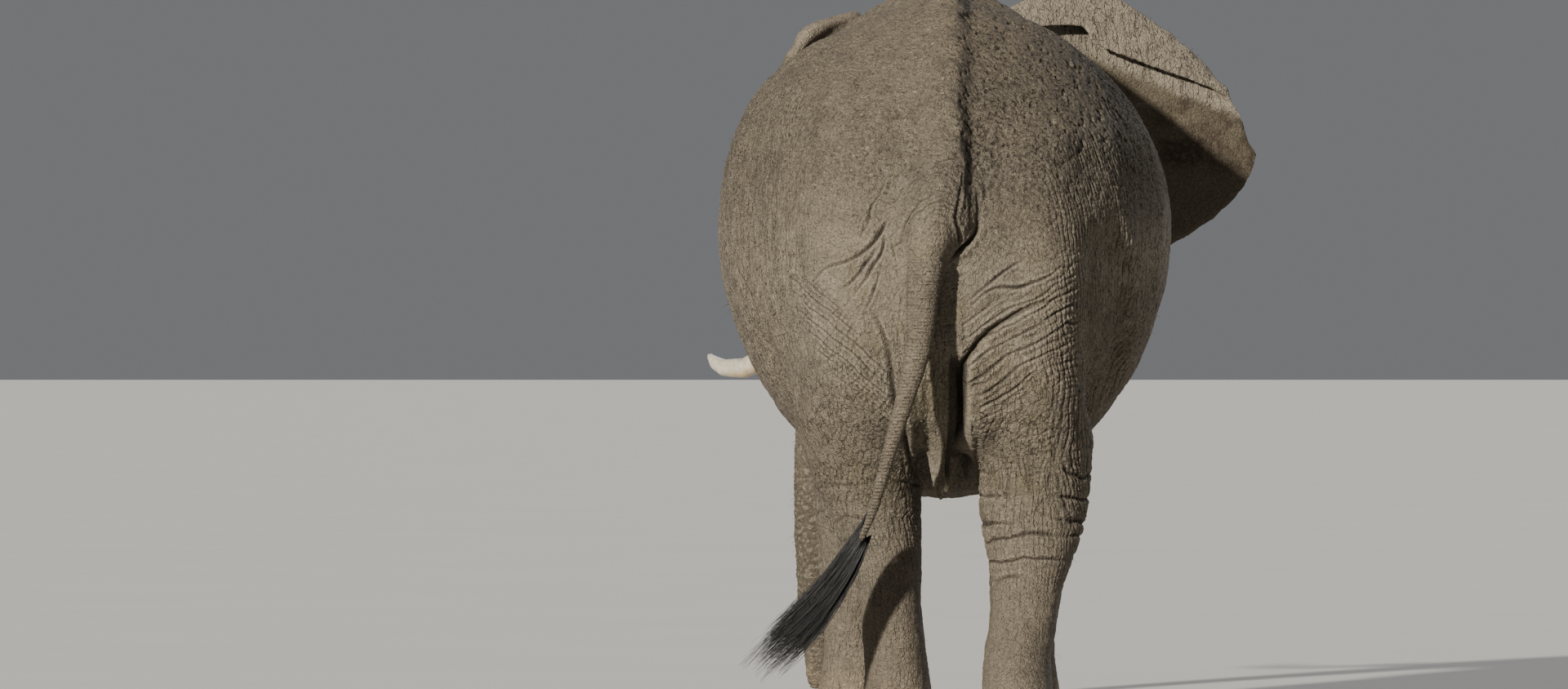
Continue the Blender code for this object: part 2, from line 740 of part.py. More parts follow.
def block(name, collection, cell, grow=0.0):
    """A box-shaped cutter from a cell: its middle, size and turn."""
    centre, size, turn = cell
    form = bmesh.new()
    bmesh.ops.create_cube(form, size=1)
    size = [side + 2 * grow for side in size]
    place = Matrix.Translation(centre) @ turn @ Matrix.Diagonal((*size, 1))
    bmesh.ops.transform(form, matrix=place, verts=form.verts)
    cutter = add_object(name, form, collection)
    cutter.hide_render = True
    cutter.display_type = "WIRE"
    return cutter


def cut_away(target, cell, helpers):
    cutter = block("cell", helpers, cell)
    boolean(target, cutter, "DIFFERENCE")
    bpy.data.objects.remove(cutter)


def part_off(source, name, cell, helpers):
    """Moves what lies in a cell from the source to a node of its own, a thin gap away."""
    inner = block("cell", helpers, cell)
    outer = block("cell", helpers, cell, GAP)
    piece = source.copy()
    piece.data = source.data.copy()
    piece.name = name
    source.users_collection[0].objects.link(piece)
    boolean(piece, inner, "INTERSECT")
    boolean(source, outer, "DIFFERENCE")
    for cutter in (inner, outer):
        bpy.data.objects.remove(cutter)
    return piece


def fit_against(target, carrier, helpers):
    """Trims a piece to what stands clear of the piece that carries it."""
    grown = carrier.copy()
    grown.data = carrier.data.copy()
    helpers.objects.link(grown)
    swell = grown.modifiers.new("gap", "DISPLACE")
    swell.strength = GAP
    swell.mid_level = 0
    settle(grown)
    boolean(target, grown, "DIFFERENCE")
    bpy.data.objects.remove(grown)
    keep_largest(target)


def level_cell(x, station, top, size, pitch=0.0):
    """A cell under a plane through (station, top), tipped up towards the rear by the pitch."""
    turn = Matrix.Rotation(pitch, 4, "X")
    centre = Vector((x, -station, top)) - turn.to_3x3() @ Vector((0, 0, size[2] / 2))
    return centre, size, turn


def head_cell(left, forward, height, size, pitch=0.0):
    """A cell square to the turned head, tipped by the pitch."""
    turn = Matrix.Rotation(HEAD_YAW, 4, "Z") @ Matrix.Rotation(pitch, 4, "X")
    return head_to_body((left, forward, height)), size, turn


def leg_cells(name, x, stations, knee, top, width, pitch):
    """The two cells of a leg, the lower first, so that each is cut from what is left."""
    lower = level_cell(x, stations[0], knee, (width, 1.0, 1.0))
    upper = level_cell(x, stations[1], top, (width, 1.1 if pitch else 0.72, 1.0), pitch)
    return [(f"{name}_lower", lower), (f"{name}_upper", upper)]


def flesh_cells():
    """The names and cells of the flesh's nodes, in the order that they are cut."""
    cells = [("vulval_fold", level_cell(0.0, 0.20, 1.20, (0.19, 0.56, 0.6)))]
    cells += leg_cells("hind_left", 0.30, (0.62, 0.50), 0.72, 1.16, 0.60, HIND_PITCH)
    cells += leg_cells("hind_right", -0.302, (0.26, 0.50), 0.74, 1.16, 0.60, HIND_PITCH)
    cells += leg_cells("fore_left", 0.40, (2.10, 2.02), 0.62, 1.10, 0.54, 0.0)
    cells += leg_cells("fore_right", -0.40, (1.72, 1.90), 0.62, 1.10, 0.54, 0.0)
    cells.append(("trunk_tip", head_cell(0.09, 0.85, 0.0, (0.6, 0.5, 0.90))))
    cells.append(("trunk_middle", head_cell(0.05, 0.85, 0.50, (0.6, 0.5, 0.94))))
    cells.append(("trunk_upper", head_cell(0.0, 0.98, 1.20, (0.7, 0.70, 0.86), math.radians(-18))))
    cells.append(("lower_jaw", head_cell(0.0, 0.49, 1.26, (0.6, 0.72, 0.48), math.radians(-21))))
    cells.append(("head", head_cell(0.0, 0.60, 2.00, (1.0, 1.15, 1.6))))
    cells.append(("neck", head_cell(0.0, -0.08, 1.95, (1.2, 0.30, 1.5))))
    return cells


def eye_place(flesh, side):
    """The middle of an eyeball, sunk a set depth in the side of the head."""
    outside = head_to_body((side, EYE_FORWARD, EYE_HEIGHT))
    inward = (head_to_body((0, EYE_FORWARD, EYE_HEIGHT)) - outside).normalized()
    found, surface, _, _ = flesh.ray_cast(outside, inward)
    return surface + inward * EYE_SUNK if found else outside


def nails(collection):
    """The toenails of each foot, on the front of its rim."""
    made = []
    for foot, place, (half_width, half_depth, count, spread) in FEET:
        for i in range(count):
            form = nail_form(spread * (i / (count - 1) - 0.5), half_width, half_depth)
            bmesh.ops.transform(form, matrix=place, verts=form.verts)
            made.append(add_object(f"nail_{foot}_{i + 1}", form, collection, "nail"))
    return made


def centre_on_floor(collection):
    """Puts the middle of the underside of the bounding box at the origin."""
    low, high = Vector((1e9,) * 3), Vector((-1e9,) * 3)
    for node in collection.objects:
        for vertex in node.data.vertices:
            low = Vector(map(min, low, vertex.co))
            high = Vector(map(max, high, vertex.co))
    shift = Vector((-(low.x + high.x) / 2, -(low.y + high.y) / 2, -low.z))
    for node in collection.objects:
        node.data.transform(Matrix.Translation(shift))
    return shift


def main():
    for old in list(bpy.data.objects):
        bpy.data.objects.remove(old)
    elephant = bpy.data.collections.new("elephant")
    helpers = bpy.data.collections.new("helpers")
    for made in (elephant, helpers):
        bpy.context.scene.collection.children.link(made)
    flesh = whole_flesh(elephant)
    cut_away(flesh, level_cell(0, 1.5, 0, (6, 6, GROUND_DEPTH)), helpers)
    cut_away(flesh, TAIL_STUMP_CELL, helpers)

    for name, side in (("eye_left", LEFT), ("eye_right", RIGHT)):
        place = eye_place(flesh, side)
        eye = add_object(name, ellipsoid(place, (EYE_RADIUS,) * 3, 9), elephant, "eye")
        fit_against(flesh, eye, helpers)
    tail = [add_object("tail_upper", tail_length(TAIL_CUT, TAIL_MIDDLE, 7), elephant)]
    tail.append(add_object("tail_lower", tail_length(TAIL_MIDDLE, 1, 6), elephant))
    tail.append(add_object("tail_tuft", tuft_form(), elephant, "hair"))
    for carrier, piece in zip([flesh] + tail, tail):
        fit_against(piece, carrier, helpers)
    for name, side in (("tusk_left", LEFT), ("tusk_right", RIGHT)):
        fit_against(add_object(name, tusk_form(side), elephant, "ivory"), flesh, helpers)
    for name, place in (("ear_right", spread_ear), ("ear_left", laid_back_ear)):
        ear = add_object(name, ear_form(place), elephant)
        thick = ear.modifiers.new("thick", "SOLIDIFY")
        thick.thickness = EAR_THICKNESS
        thick.offset = 0
        remesh_and_reduce(ear, EAR_VOXEL, 3, EAR_TRIANGLES)
        fit_against(ear, flesh, helpers)
    for nail in nails(elephant):
        cut_away(nail, level_cell(0, 1.5, GAP, (6, 6, GROUND_DEPTH)), helpers)
        fit_against(nail, flesh, helpers)

    for name, cell in flesh_cells():
        part_off(flesh, name, cell, helpers)
    flesh.name = "torso"
    centre_on_floor(elephant)
    for node in elephant.objects:
        node.data.shade_smooth()
        node.data.set_sharp_from_angle(angle=SHARP_ANGLE)


if __name__ == "__main__":
    main()
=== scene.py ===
"""The looks of the elephant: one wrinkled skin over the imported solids, with eyes, tusks, nails and hair."""

import json
import math

import bmesh
import bpy
import numpy as np
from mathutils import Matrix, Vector
from mathutils.bvhtree import BVHTree


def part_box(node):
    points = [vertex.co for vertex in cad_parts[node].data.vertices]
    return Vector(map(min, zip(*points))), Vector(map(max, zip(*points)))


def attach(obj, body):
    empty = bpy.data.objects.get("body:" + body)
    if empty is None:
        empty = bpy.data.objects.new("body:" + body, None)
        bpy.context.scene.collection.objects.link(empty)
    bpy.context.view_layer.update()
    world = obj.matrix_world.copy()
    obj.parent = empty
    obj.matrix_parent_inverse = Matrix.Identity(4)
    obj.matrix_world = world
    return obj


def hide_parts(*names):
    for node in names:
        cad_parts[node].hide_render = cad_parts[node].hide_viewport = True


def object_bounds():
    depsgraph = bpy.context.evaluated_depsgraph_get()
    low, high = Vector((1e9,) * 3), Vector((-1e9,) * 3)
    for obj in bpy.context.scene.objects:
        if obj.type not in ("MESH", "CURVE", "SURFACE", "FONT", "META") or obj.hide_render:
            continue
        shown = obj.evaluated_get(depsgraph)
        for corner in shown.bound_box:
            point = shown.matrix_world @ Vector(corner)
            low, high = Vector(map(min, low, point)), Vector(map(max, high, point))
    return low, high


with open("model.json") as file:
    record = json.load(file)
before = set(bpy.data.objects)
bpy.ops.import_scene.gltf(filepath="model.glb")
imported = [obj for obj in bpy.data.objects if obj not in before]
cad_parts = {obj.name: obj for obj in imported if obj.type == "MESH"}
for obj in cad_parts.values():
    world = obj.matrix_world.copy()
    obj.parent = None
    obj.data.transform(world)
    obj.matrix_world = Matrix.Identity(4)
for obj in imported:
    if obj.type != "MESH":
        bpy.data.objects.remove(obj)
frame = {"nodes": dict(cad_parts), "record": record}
cad_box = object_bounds()
BOX_LOW, BOX_HIGH = (np.array(corner) for corner in cad_box)
RANDOM = np.random.default_rng(7)

# ------------------------------------------------------------------ driving dimensions, metres

# The body's own frame: off to the animal's left, station forward from the rump, height up. The left hind
# sole has its place in it, and the head turns about the neck's pivot.
HIND_SOLE = (0.168, 0.61)
HEAD_YAW = math.radians(20)
NECK_PIVOT = (0.05, 2.35)

TRUNK_NODES = ["trunk_upper", "trunk_middle", "trunk_tip"]
BODY_NODES = ["torso", "neck", "head", "lower_jaw", *TRUNK_NODES, "vulval_fold"]
LEGS = [(end, side) for end in ("fore", "hind") for side in ("left", "right")]
LEG_NODES = [f"{end}_{side}_{half}" for end, side in LEGS for half in ("upper", "lower")]
EAR_NODES = ["ear_left", "ear_right"]
TAIL_NODES = ["tail_upper", "tail_lower"]
# Each eye, and the side of the head it is on.
EYES = {"eye_left": 1, "eye_right": -1}
NAIL_NODES = sorted(name for name in frame["nodes"] if name.startswith("nail_"))

# Corners closer than this are one. Then how finely the forms are remeshed, and how often each is smoothed.
WELD = 0.00001
BASE_VOXEL, THIN_VOXEL, NAIL_VOXEL = 0.014, 0.006, 0.003
SKIN_VOXEL = 0.009
BASE_SMOOTHING, HEAD_SMOOTHING, JOIN_SMOOTHING = 60, 14, 3
TAIL_SMOOTHING, EAR_SMOOTHING, TUSK_SMOOTHING, NAIL_SMOOTHING = 12, 40, 12, 8
REGION_FADE_STEPS, EAR_MARGIN_STEPS, BLUNTING_STEPS = 10, 5, 24
# The skin is set in this far before its relief rises, and stays this far inside the solids' box.
SKIN_DEPTH, FLOOR_GAP = 0.001, 0.0006
# Round each eye, the skin is finest this far out.
EYE_DETAIL = 0.10
# A crease this deep, and a hollow this deep, get the darkest painted shade.
CREASE_SHADE_DEPTH, HOLLOW_SHADE_DEPTH, HOLLOW_SHADE_STEPS = 0.011, 0.0022, 6
# How far the edges of the regions of folds stray.
ROAM = 0.05
# The height of the slices in which a leg's middle is found.
LEG_SLICE = 0.05
# Heights of the level creases at each leg's joint.
JOINT_CREASES = {
    "fore": {"left": (0.44, 0.50, 0.56, 0.63, 0.72), "right": (0.42, 0.49, 0.56, 0.64, 0.73)},
    "hind": {"left": (0.50, 0.58, 0.66, 0.74, 0.84), "right": (0.54, 0.607, 0.682, 0.727, 0.80, 0.883)},
}
# The middle of the dimple on the left thigh, as seen from behind.
DIMPLE = (0.225, 1.738)
# Where the ears' veins start: off the head's middle, at a station of the body, and at one height.
RIGHT_EAR_ROOT, LEFT_EAR_ROOT, EAR_HEIGHT = -0.245, 2.36, 2.05
LID_SLANT, LID_THICKNESS, EYE_SOCKET = 0.18, 0.0035, 0.004
# Half the almond's length, then how far it opens above and below.
LID_OPENING = (0.021, 0.0115, 0.0095)

EYE_SEGMENTS, EYE_RINGS, EYE_GAP, CORNEA = 48, 32, 0.0003, 0.0012
# The way an eye looks: out of the head, forward and up.
GAZE = (0.93, 0.36, -0.05)

HAIR_SIDES = 3
# A direction that no hair runs along, and the least length that one is divided by.
ASKEW, TINY = (0.31, 0.92, 0.22), 1e-9
TUFT_HAIRS, TUFT_POINTS, TUFT_LOCKS = 950, 12, 42
# How far the brush bows from the straight line between its ends, and how thick its hairs are.
TUFT_BOW = (0.045, 0.0, 0.02)
TUFT_RADII = (0.0007, 0.0014)
# The way up the tail from its end.
TAIL_RISE = np.array((-0.3, 0.0, 0.95))
BACKWARD = np.array((0.0, 1.0, 0.0))
SPARSE_HAIRS, SPARSE_POINTS = 2600, 4
SPARSE_LENGTHS, SPARSE_RADII = (0.012, 0.032), (0.00035, 0.0006)
# Short hairs lie back and down, and stay this far inside the solids' box.
HAIR_LAY, HAIR_GAP = np.array((0.0, 0.35, -0.75)), 0.002
LASHES, LASH_POINTS = 16, 6
LASH_LENGTHS, LASH_RADIUS, LASH_OUT = (0.022, 0.038), 0.0005, 0.0185
# Each hair's patch on the coat's map, and the height of the axis that the map is rolled round.
PATCH, MAP_AXIS_HEIGHT = 0.003, 1.5

# The camera of the photo, as fitted to it: its place in the body's frame, and its lens.
CAMERA_STATION, CAMERA_OFF, CAMERA_HEIGHT = -29.1, 0.554, 1.332
CAMERA_LENS, CAMERA_SENSOR, CAMERA_REACH = 201.94, 36.0, 400.0
FLOOR_HALF = 300.0
# Each light's bearing, to the left of straight behind and up, then how far it spreads and how strong it is.
KEY_BEARING = (math.radians(30.5), math.radians(15.8))
KEY_SPREAD = math.radians(2)
FRONT_BEARING, FRONT_SPREAD = (math.radians(210), math.radians(32)), math.radians(60)
KEY_LIGHT, FRONT_LIGHT, WORLD_LIGHT = 8.4, 2.0, 0.20
KEY_COLOUR, FRONT_COLOUR, WORLD_COLOUR = (1.0, 0.95, 0.87), (0.95, 0.97, 1.0), (0.86, 0.88, 0.92, 1)


def mount_place(name):
    mounts = {mount["name"]: mount for mount in frame["record"]["mounts"]}
    return Vector(mounts[name]["pos_m"])


sole = mount_place("sole_hind_left")
ORIGIN = Vector((sole.x - HIND_SOLE[0], sole.y + HIND_SOLE[1], 0))


def body_frame(points):
    """Left of the body's middle, station forward of the rump, height."""
    return np.stack((points[:, 0] - ORIGIN.x, ORIGIN.y - points[:, 1], points[:, 2]), 1)


def head_frame(points):
    """Left of the head's middle, forward of the neck pivot, height, in the turned head."""
    off = points[:, 0] - ORIGIN.x - NECK_PIVOT[0]
    ahead = ORIGIN.y - NECK_PIVOT[1] - points[:, 1]
    cos, sin = math.cos(HEAD_YAW), math.sin(HEAD_YAW)
    return np.stack((off * cos - ahead * sin, off * sin + ahead * cos, points[:, 2]), 1)


def from_body(off, station, height):
    return Vector((ORIGIN.x + off, ORIGIN.y - station, height))


# --------------------------------------------------------------------------- mesh and noise tools

def coordinates(mesh):
    flat = np.empty(len(mesh.vertices) * 3, np.float32)
    mesh.vertices.foreach_get("co", flat)
    return flat.reshape(-1, 3).astype(float)


def normals_of(mesh):
    flat = np.empty(len(mesh.vertices) * 3, np.float32)
    mesh.vertex_normals.foreach_get("vector", flat)
    return flat.reshape(-1, 3).astype(float)


def place_vertices(mesh, points):
    mesh.vertices.foreach_set("co", points.astype(np.float32).ravel())
    mesh.update()


def edges_of(mesh):
    flat = np.empty(len(mesh.edges) * 2, np.int32)
    mesh.edges.foreach_get("vertices", flat)
    return flat.reshape(-1, 2)


def relaxed(values, edges, steps, share=0.5):
    """Each row drawn towards the mean of its neighbours, over and over."""
    values = np.array(values, float)
    columns = values.reshape(len(values), -1)
    ends = np.concatenate((edges[:, 0], edges[:, 1]))
    others = np.concatenate((edges[:, 1], edges[:, 0]))
    count = np.maximum(np.bincount(ends, minlength=len(values)), 1)
    for _ in range(steps):
        for i in range(columns.shape[1]):
            mean = np.bincount(ends, columns[others, i], len(values)) / count
            columns[:, i] += (mean - columns[:, i]) * share
    return columns.reshape(values.shape)


def evened(points, edges, steps):
    """Smoothed without shrinking: what smoothing took from the broad shape is given back."""
    smooth = relaxed(points, edges, steps)
    return smooth + relaxed(points - smooth, edges, steps)


def smooth_step(low, high, value):
    share = np.clip((value - low) / (high - low), 0, 1)
    return share * share * (3 - 2 * share)


def fall(low, high, value):
    """1 below low, sinking smoothly to 0 above high."""
    return 1 - smooth_step(low, high, value)


def bell(value, width):
    """1 where value is 0, fading to 0 on both sides of it."""
    return np.exp(-((value / width) ** 2))


def band(value, low, high, fade):
    """1 between low and high, fading to 0 outside them."""
    return smooth_step(low - fade, low, value) * fall(high, high + fade, value)


def hashed(cells, seed):
    x, y, z = (cells[..., i].astype(np.uint32) for i in range(3))
    mix = x * np.uint32(374761393) + y * np.uint32(668265263) + z * np.uint32(2246822519)
    mix = mix + np.uint32(seed * 2654435 + 97)
    mix = (mix ^ (mix >> np.uint32(13))) * np.uint32(1274126177)
    mix = (mix ^ (mix >> np.uint32(15))) * np.uint32(2246822519)
    return ((mix ^ (mix >> np.uint32(16))) & np.uint32(0xFFFFFF)) / float(0x1000000)


def noise(points, size, seed=0):
    """Smooth noise from -1 to 1 with lumps about size across. size may differ along each axis."""
    scaled = points / np.asarray(size, float)
    base = np.floor(scaled).astype(np.int64)
    part = scaled - base
    part = part * part * (3 - 2 * part)
    total = np.zeros(len(points))
    for corner in np.ndindex(2, 2, 2):
        weight = np.prod([part[:, i] if corner[i] else 1 - part[:, i] for i in range(3)], axis=0)
        total += weight * hashed(base + np.array(corner), seed)
    return total * 2 - 1


def layered(points, size, seed=0, layers=3):
    size = np.asarray(size, float)
    total = sum(noise(points, size / 2**i, seed + i) / 2**i for i in range(layers))
    return total / (2 - 0.5 ** (layers - 1))


def cracks(points, size, seed=0):
    """0 on the borders of a net of cells about size across, rising to about 1 inside them."""
    scaled = points / np.asarray(size, float)
    base = np.floor(scaled).astype(np.int64)
    part = scaled - base
    first = np.full(len(points), 9.0)
    second = np.full(len(points), 9.0)
    for corner in np.ndindex(3, 3, 3):
        cell = np.array(corner) - 1
        here = base + cell
        away = np.zeros(len(points))
        for i in range(3):
            away += (cell[i] + 0.1 + 0.8 * hashed(here, seed * 3 + i) - part[:, i]) ** 2
        second = np.minimum(second, np.maximum(first, away))
        first = np.minimum(first, away)
    return np.clip(np.sqrt(second) - np.sqrt(first), 0, 1)


# ------------------------------------------------------------------------------ the bare forms

def linked(name, data):
    """A new object in the scene."""
    made = bpy.data.objects.new(name, data)
    bpy.context.scene.collection.objects.link(made)
    return made


def mesh_of(build, name):
    """What was built, as a mesh."""
    mesh = bpy.data.meshes.new(name)
    build.to_mesh(mesh)
    build.free()
    return mesh


def joined(nodes, name):
    """The frame's solids of these nodes, copied into one new object."""
    build = bmesh.new()
    for node in nodes:
        build.from_mesh(frame["nodes"][node].data)
    bmesh.ops.remove_doubles(build, verts=build.verts, dist=WELD)
    return linked(name, mesh_of(build, name))


def remeshed(piece, voxel):
    """The piece as one closed skin of even quads."""
    change = piece.modifiers.new("remesh", "REMESH")
    change.mode = "VOXEL"
    change.voxel_size = voxel
    seen = piece.evaluated_get(bpy.context.evaluated_depsgraph_get())
    mesh = bpy.data.meshes.new_from_object(seen)
    piece.modifiers.clear()
    piece.data = mesh
    return piece


def body_form():
    """Trunk, head and legs as one even form, with the solids' facets smoothed away."""
    piece = remeshed(joined(BODY_NODES + LEG_NODES, "body_form"), BASE_VOXEL)
    points = coordinates(piece.data)
    edges = edges_of(piece.data)
    place = body_frame(points)
    fine = evened(points, edges, HEAD_SMOOTHING)
    broad = evened(points, edges, BASE_SMOOTHING)
    ahead = smooth_step(2.25, 2.6, place[:, 1])
    low = fall(0.35, 0.8, place[:, 2])
    share = np.maximum(ahead, low)[:, None]
    place_vertices(piece.data, fine * share + broad * (1 - share))
    return piece


def rounded(nodes, name, voxel, steps):
    """The nodes' solids as a fine, even form without its facets."""
    piece = remeshed(joined(nodes, name), voxel)
    points = coordinates(piece.data)
    place_vertices(piece.data, evened(points, edges_of(piece.data), steps))
    return piece


def skin_form():
    """Every form of flesh grown together into one skin."""
    forms = [body_form(), rounded(TAIL_NODES, "tail", THIN_VOXEL, TAIL_SMOOTHING)]
    forms += [rounded([ear], "ear", THIN_VOXEL, EAR_SMOOTHING) for ear in EAR_NODES]
    build = bmesh.new()
    for form in forms:
        build.from_mesh(form.data)
        bpy.data.objects.remove(form)
    piece = remeshed(linked("skin", mesh_of(build, "skin")), SKIN_VOXEL)
    points = coordinates(piece.data)
    place_vertices(piece.data, relaxed(points, edges_of(piece.data), JOIN_SMOOTHING))
    return piece


def refined(mesh, wanted):
    """Every face whose corners are all wanted is cut in four."""
    build = bmesh.new()
    build.from_mesh(mesh)
    chosen = [face for face in build.faces if all(wanted[corner.index] for corner in face.verts)]
    edges = list({edge for face in chosen for edge in face.edges})
    bmesh.ops.subdivide_edges(build, edges=edges, cuts=1, use_grid_fill=True)
    odd = [face for face in build.faces if len(face.verts) > 4]
    bmesh.ops.triangulate(build, faces=odd)
    build.to_mesh(mesh)
    build.free()
    mesh.update()


def region_shares(points, edges):
    """For each solid of flesh, how far each point of the skin belongs to it, from 0 to 1."""
    corners, faces, owners = [], [], []
    names = BODY_NODES + LEG_NODES + EAR_NODES + TAIL_NODES
    for number, name in enumerate(names):
        mesh = frame["nodes"][name].data
        start = len(corners)
        corners += [vertex.co.copy() for vertex in mesh.vertices]
        for face in mesh.polygons:
            faces.append([start + i for i in face.vertices])
            owners.append(number)
    tree = BVHTree.FromPolygons(corners, faces)
    owner = np.array([owners[tree.find_nearest(point)[2]] for point in points.tolist()])
    shares = np.stack([owner == number for number in range(len(names))], 1).astype(float)
    shares = relaxed(shares, edges, REGION_FADE_STEPS)
    return {name: shares[:, number] for number, name in enumerate(names)}


# ------------------------------------------------------------------------------- the skin's relief

class Relief:
    """What the smooth skin gains: rises and creases along its normals, and the marks that colour it."""

    def __init__(self, points, normals, shares):
        self.points = points
        self.rearward, self.upward = normals[:, 1], normals[:, 2]
        self.body = body_frame(points)
        self.head = head_frame(points)
        # The same places led astray a little, so that no region of folds ends along a straight line.
        self.roam = self.body + ROAM * np.stack([noise(points, 0.20, 90 + i) for i in range(3)], 1)
        self.shares = shares
        self.height = np.zeros(len(points))
        # How much painted shade each point gets from the creases cut in it.
        self.crease = np.zeros(len(points))

    def share(self, *names):
        return sum(self.shares[name] for name in names)

    def raise_by(self, rise):
        self.height += rise

    def cut(self, depth, lines, mask=1.0):
        """Creases: lines is 1 in each crease, 0 beside it. Each crease also gets painted shade, darker the
        deeper it is.
        """
        deep = lines * mask
        self.height -= depth * deep
        self.crease = np.maximum(self.crease, deep * min(1.0, depth / CREASE_SHADE_DEPTH))

    def fold(self, depth, field, spacing, mask, width=0.2, seed=0, waver=0.35, broken=0.0):
        """Parallel creases with full skin between them. field runs across them, in metres. width is each
        crease's share of the spacing, waver how far it wanders, and broken how much of it is missing."""
        here = mask > 0.01
        points = self.points[here]
        across = field[here] + waver * spacing * noise(points, spacing * 2.5, seed)
        across = across + 0.3 * waver * spacing * noise(points, spacing * 0.9, seed + 1)
        across = across + 1.2 * waver * spacing * noise(points, spacing * 6.0, seed + 5)
        turn = across / spacing
        away = np.abs(turn - np.round(turn))
        vary = noise(points, spacing * 1.7, seed + 3)
        line = bell(away, width * (1 + 0.35 * vary))
        strength = mask[here] * (0.75 + 0.25 * vary)
        if broken:
            gaps = noise(points, spacing * 3.0, seed + 2)
            strength = strength * smooth_step(broken - 1.0, broken - 0.4, gaps + 0.25 * line)
        lines = np.zeros(len(mask))
        lines[here] = line * strength
        full = np.zeros(len(mask))
        full[here] = (0.25 - away**2) * 4 * strength
        self.raise_by(0.45 * depth * (full - 1) * mask)
        self.cut(0.75 * depth, lines)

    def seams(self, creases, mask, seed, bank=0.25):
        """Single creases down curves seen from behind. bank is how far the skin rises beside them."""
        for number, (deepest, depth, width, curve) in enumerate(creases):
            self.seam(curve, depth, width, mask, deepest, seed + number, bank)

    def seam(self, curve, depth, width, mask, deepest, seed, bank):
        """One such crease, fading out from its deepest place to both ends."""
        away, share = near_curve(self.body[:, ::2], curve, 5 * width)
        swell = np.where(share < deepest, share / deepest, (1 - share) / (1 - deepest))
        swell = np.clip(swell, 0, 1) ** 0.7
        wide = width * (0.4 + 0.6 * swell) * (1 + 0.3 * noise(self.points, 0.035, seed))
        self.cut(depth, bell(away, wide) * swell, mask)
        self.raise_by(bank * depth * bell(away - 2.2 * wide, 1.2 * wide) * swell * mask)

    def net(self, depth, size, mask, seed, width=0.16):
        """A net of fine cracks, its cells about size across."""
        here = mask > 0.02
        points = self.points[here]
        reach = float(np.mean(size))
        bent = points + 0.35 * reach * np.stack([noise(points, reach * 1.4, seed + i) for i in range(3)], 1)
        border = cracks(bent, size, seed)
        lines = np.zeros(len(mask))
        lines[here] = bell(border, width)
        full = np.zeros(len(mask))
        full[here] = np.minimum(border, 0.6)
        self.raise_by(0.5 * depth * (full - 0.6) * mask)
        self.cut(0.7 * depth, lines, mask)


def near_curve(places, curve, reach, steps=6):
    """How far points lie from a smooth curve in their plane, up to reach, and how far along it they are."""
    knots = [np.array(knot, float) for knot in curve]
    knots = [2 * knots[0] - knots[1]] + knots + [2 * knots[-1] - knots[-2]]
    line = []
    for i in range(1, len(knots) - 2):
        before, start, end, after = knots[i - 1:i + 3]
        for j in range(steps):
            t = j / steps
            bend = 2 * before - 5 * start + 4 * end - after
            twist = 3 * start - before - 3 * end + after
            line.append(0.5 * (2 * start + (end - before) * t + bend * t**2 + twist * t**3))
    line = np.array(line + [knots[-2]])
    away = np.full(len(places), reach * 2.0)
    share = np.zeros(len(places))
    low, high = line.min(0) - reach, line.max(0) + reach
    here = np.nonzero(((places > low) & (places < high)).all(1))[0]
    near = places[here]
    best = np.full(len(here), reach * 2.0)
    place = np.zeros(len(here))
    for number, (start, end) in enumerate(zip(line[:-1], line[1:])):
        run = end - start
        along = np.clip(((near - start) @ run) / (run @ run), 0, 1)
        gap = np.linalg.norm(near - start - along[:, None] * run, axis=1)
        place = np.where(gap < best, (number + along) / (len(line) - 1), place)
        best = np.minimum(best, gap)
    away[here] = best
    share[here] = place
    return away, share


# The creases that spread from the left thigh's dimple, and two on the right thigh's upper half: where along
# it each is deepest, its depth and width, and its curve as seen from behind.
DIMPLE_CREASES = [
    (0.14, 0.018, 0.0065, [(0.220, 1.745), (0.243, 1.70), (0.27, 1.663), (0.308, 1.632), (0.357, 1.606),
                           (0.42, 1.585), (0.481, 1.52)]),
    (0.4, 0.011, 0.0055, [(0.251, 1.667), (0.262, 1.632), (0.292, 1.598), (0.311, 1.567), (0.349, 1.529),
                          (0.386, 1.51)]),
    (0.3, 0.012, 0.0055, [(0.224, 1.72), (0.228, 1.667), (0.239, 1.629), (0.266, 1.587), (0.289, 1.545),
                          (0.316, 1.51), (0.327, 1.48)]),
    (0.5, 0.009, 0.0050, [(0.235, 1.60), (0.251, 1.537), (0.266, 1.492), (0.292, 1.435)]),
    (0.4, 0.007, 0.0045, [(0.205, 1.682), (0.195, 1.632), (0.178, 1.57)]),
    (0.5, 0.011, 0.0055, [(0.085, 1.82), (0.122, 1.784), (0.151, 1.746), (0.168, 1.705), (0.176, 1.64)]),
    (0.6, 0.008, 0.0055, [(0.214, 1.89), (0.243, 1.83), (0.27, 1.792), (0.281, 1.735), (0.304, 1.70)]),
]
RIGHT_THIGH_CREASES = [
    (0.5, 0.010, 0.0055, [(-0.046, 1.467), (-0.122, 1.532), (-0.192, 1.586), (-0.25, 1.62)]),
    (0.6, 0.012, 0.0060, [(-0.041, 1.432), (-0.097, 1.491), (-0.151, 1.519), (-0.216, 1.521),
                          (-0.257, 1.532), (-0.332, 1.562), (-0.38, 1.602)]),
]


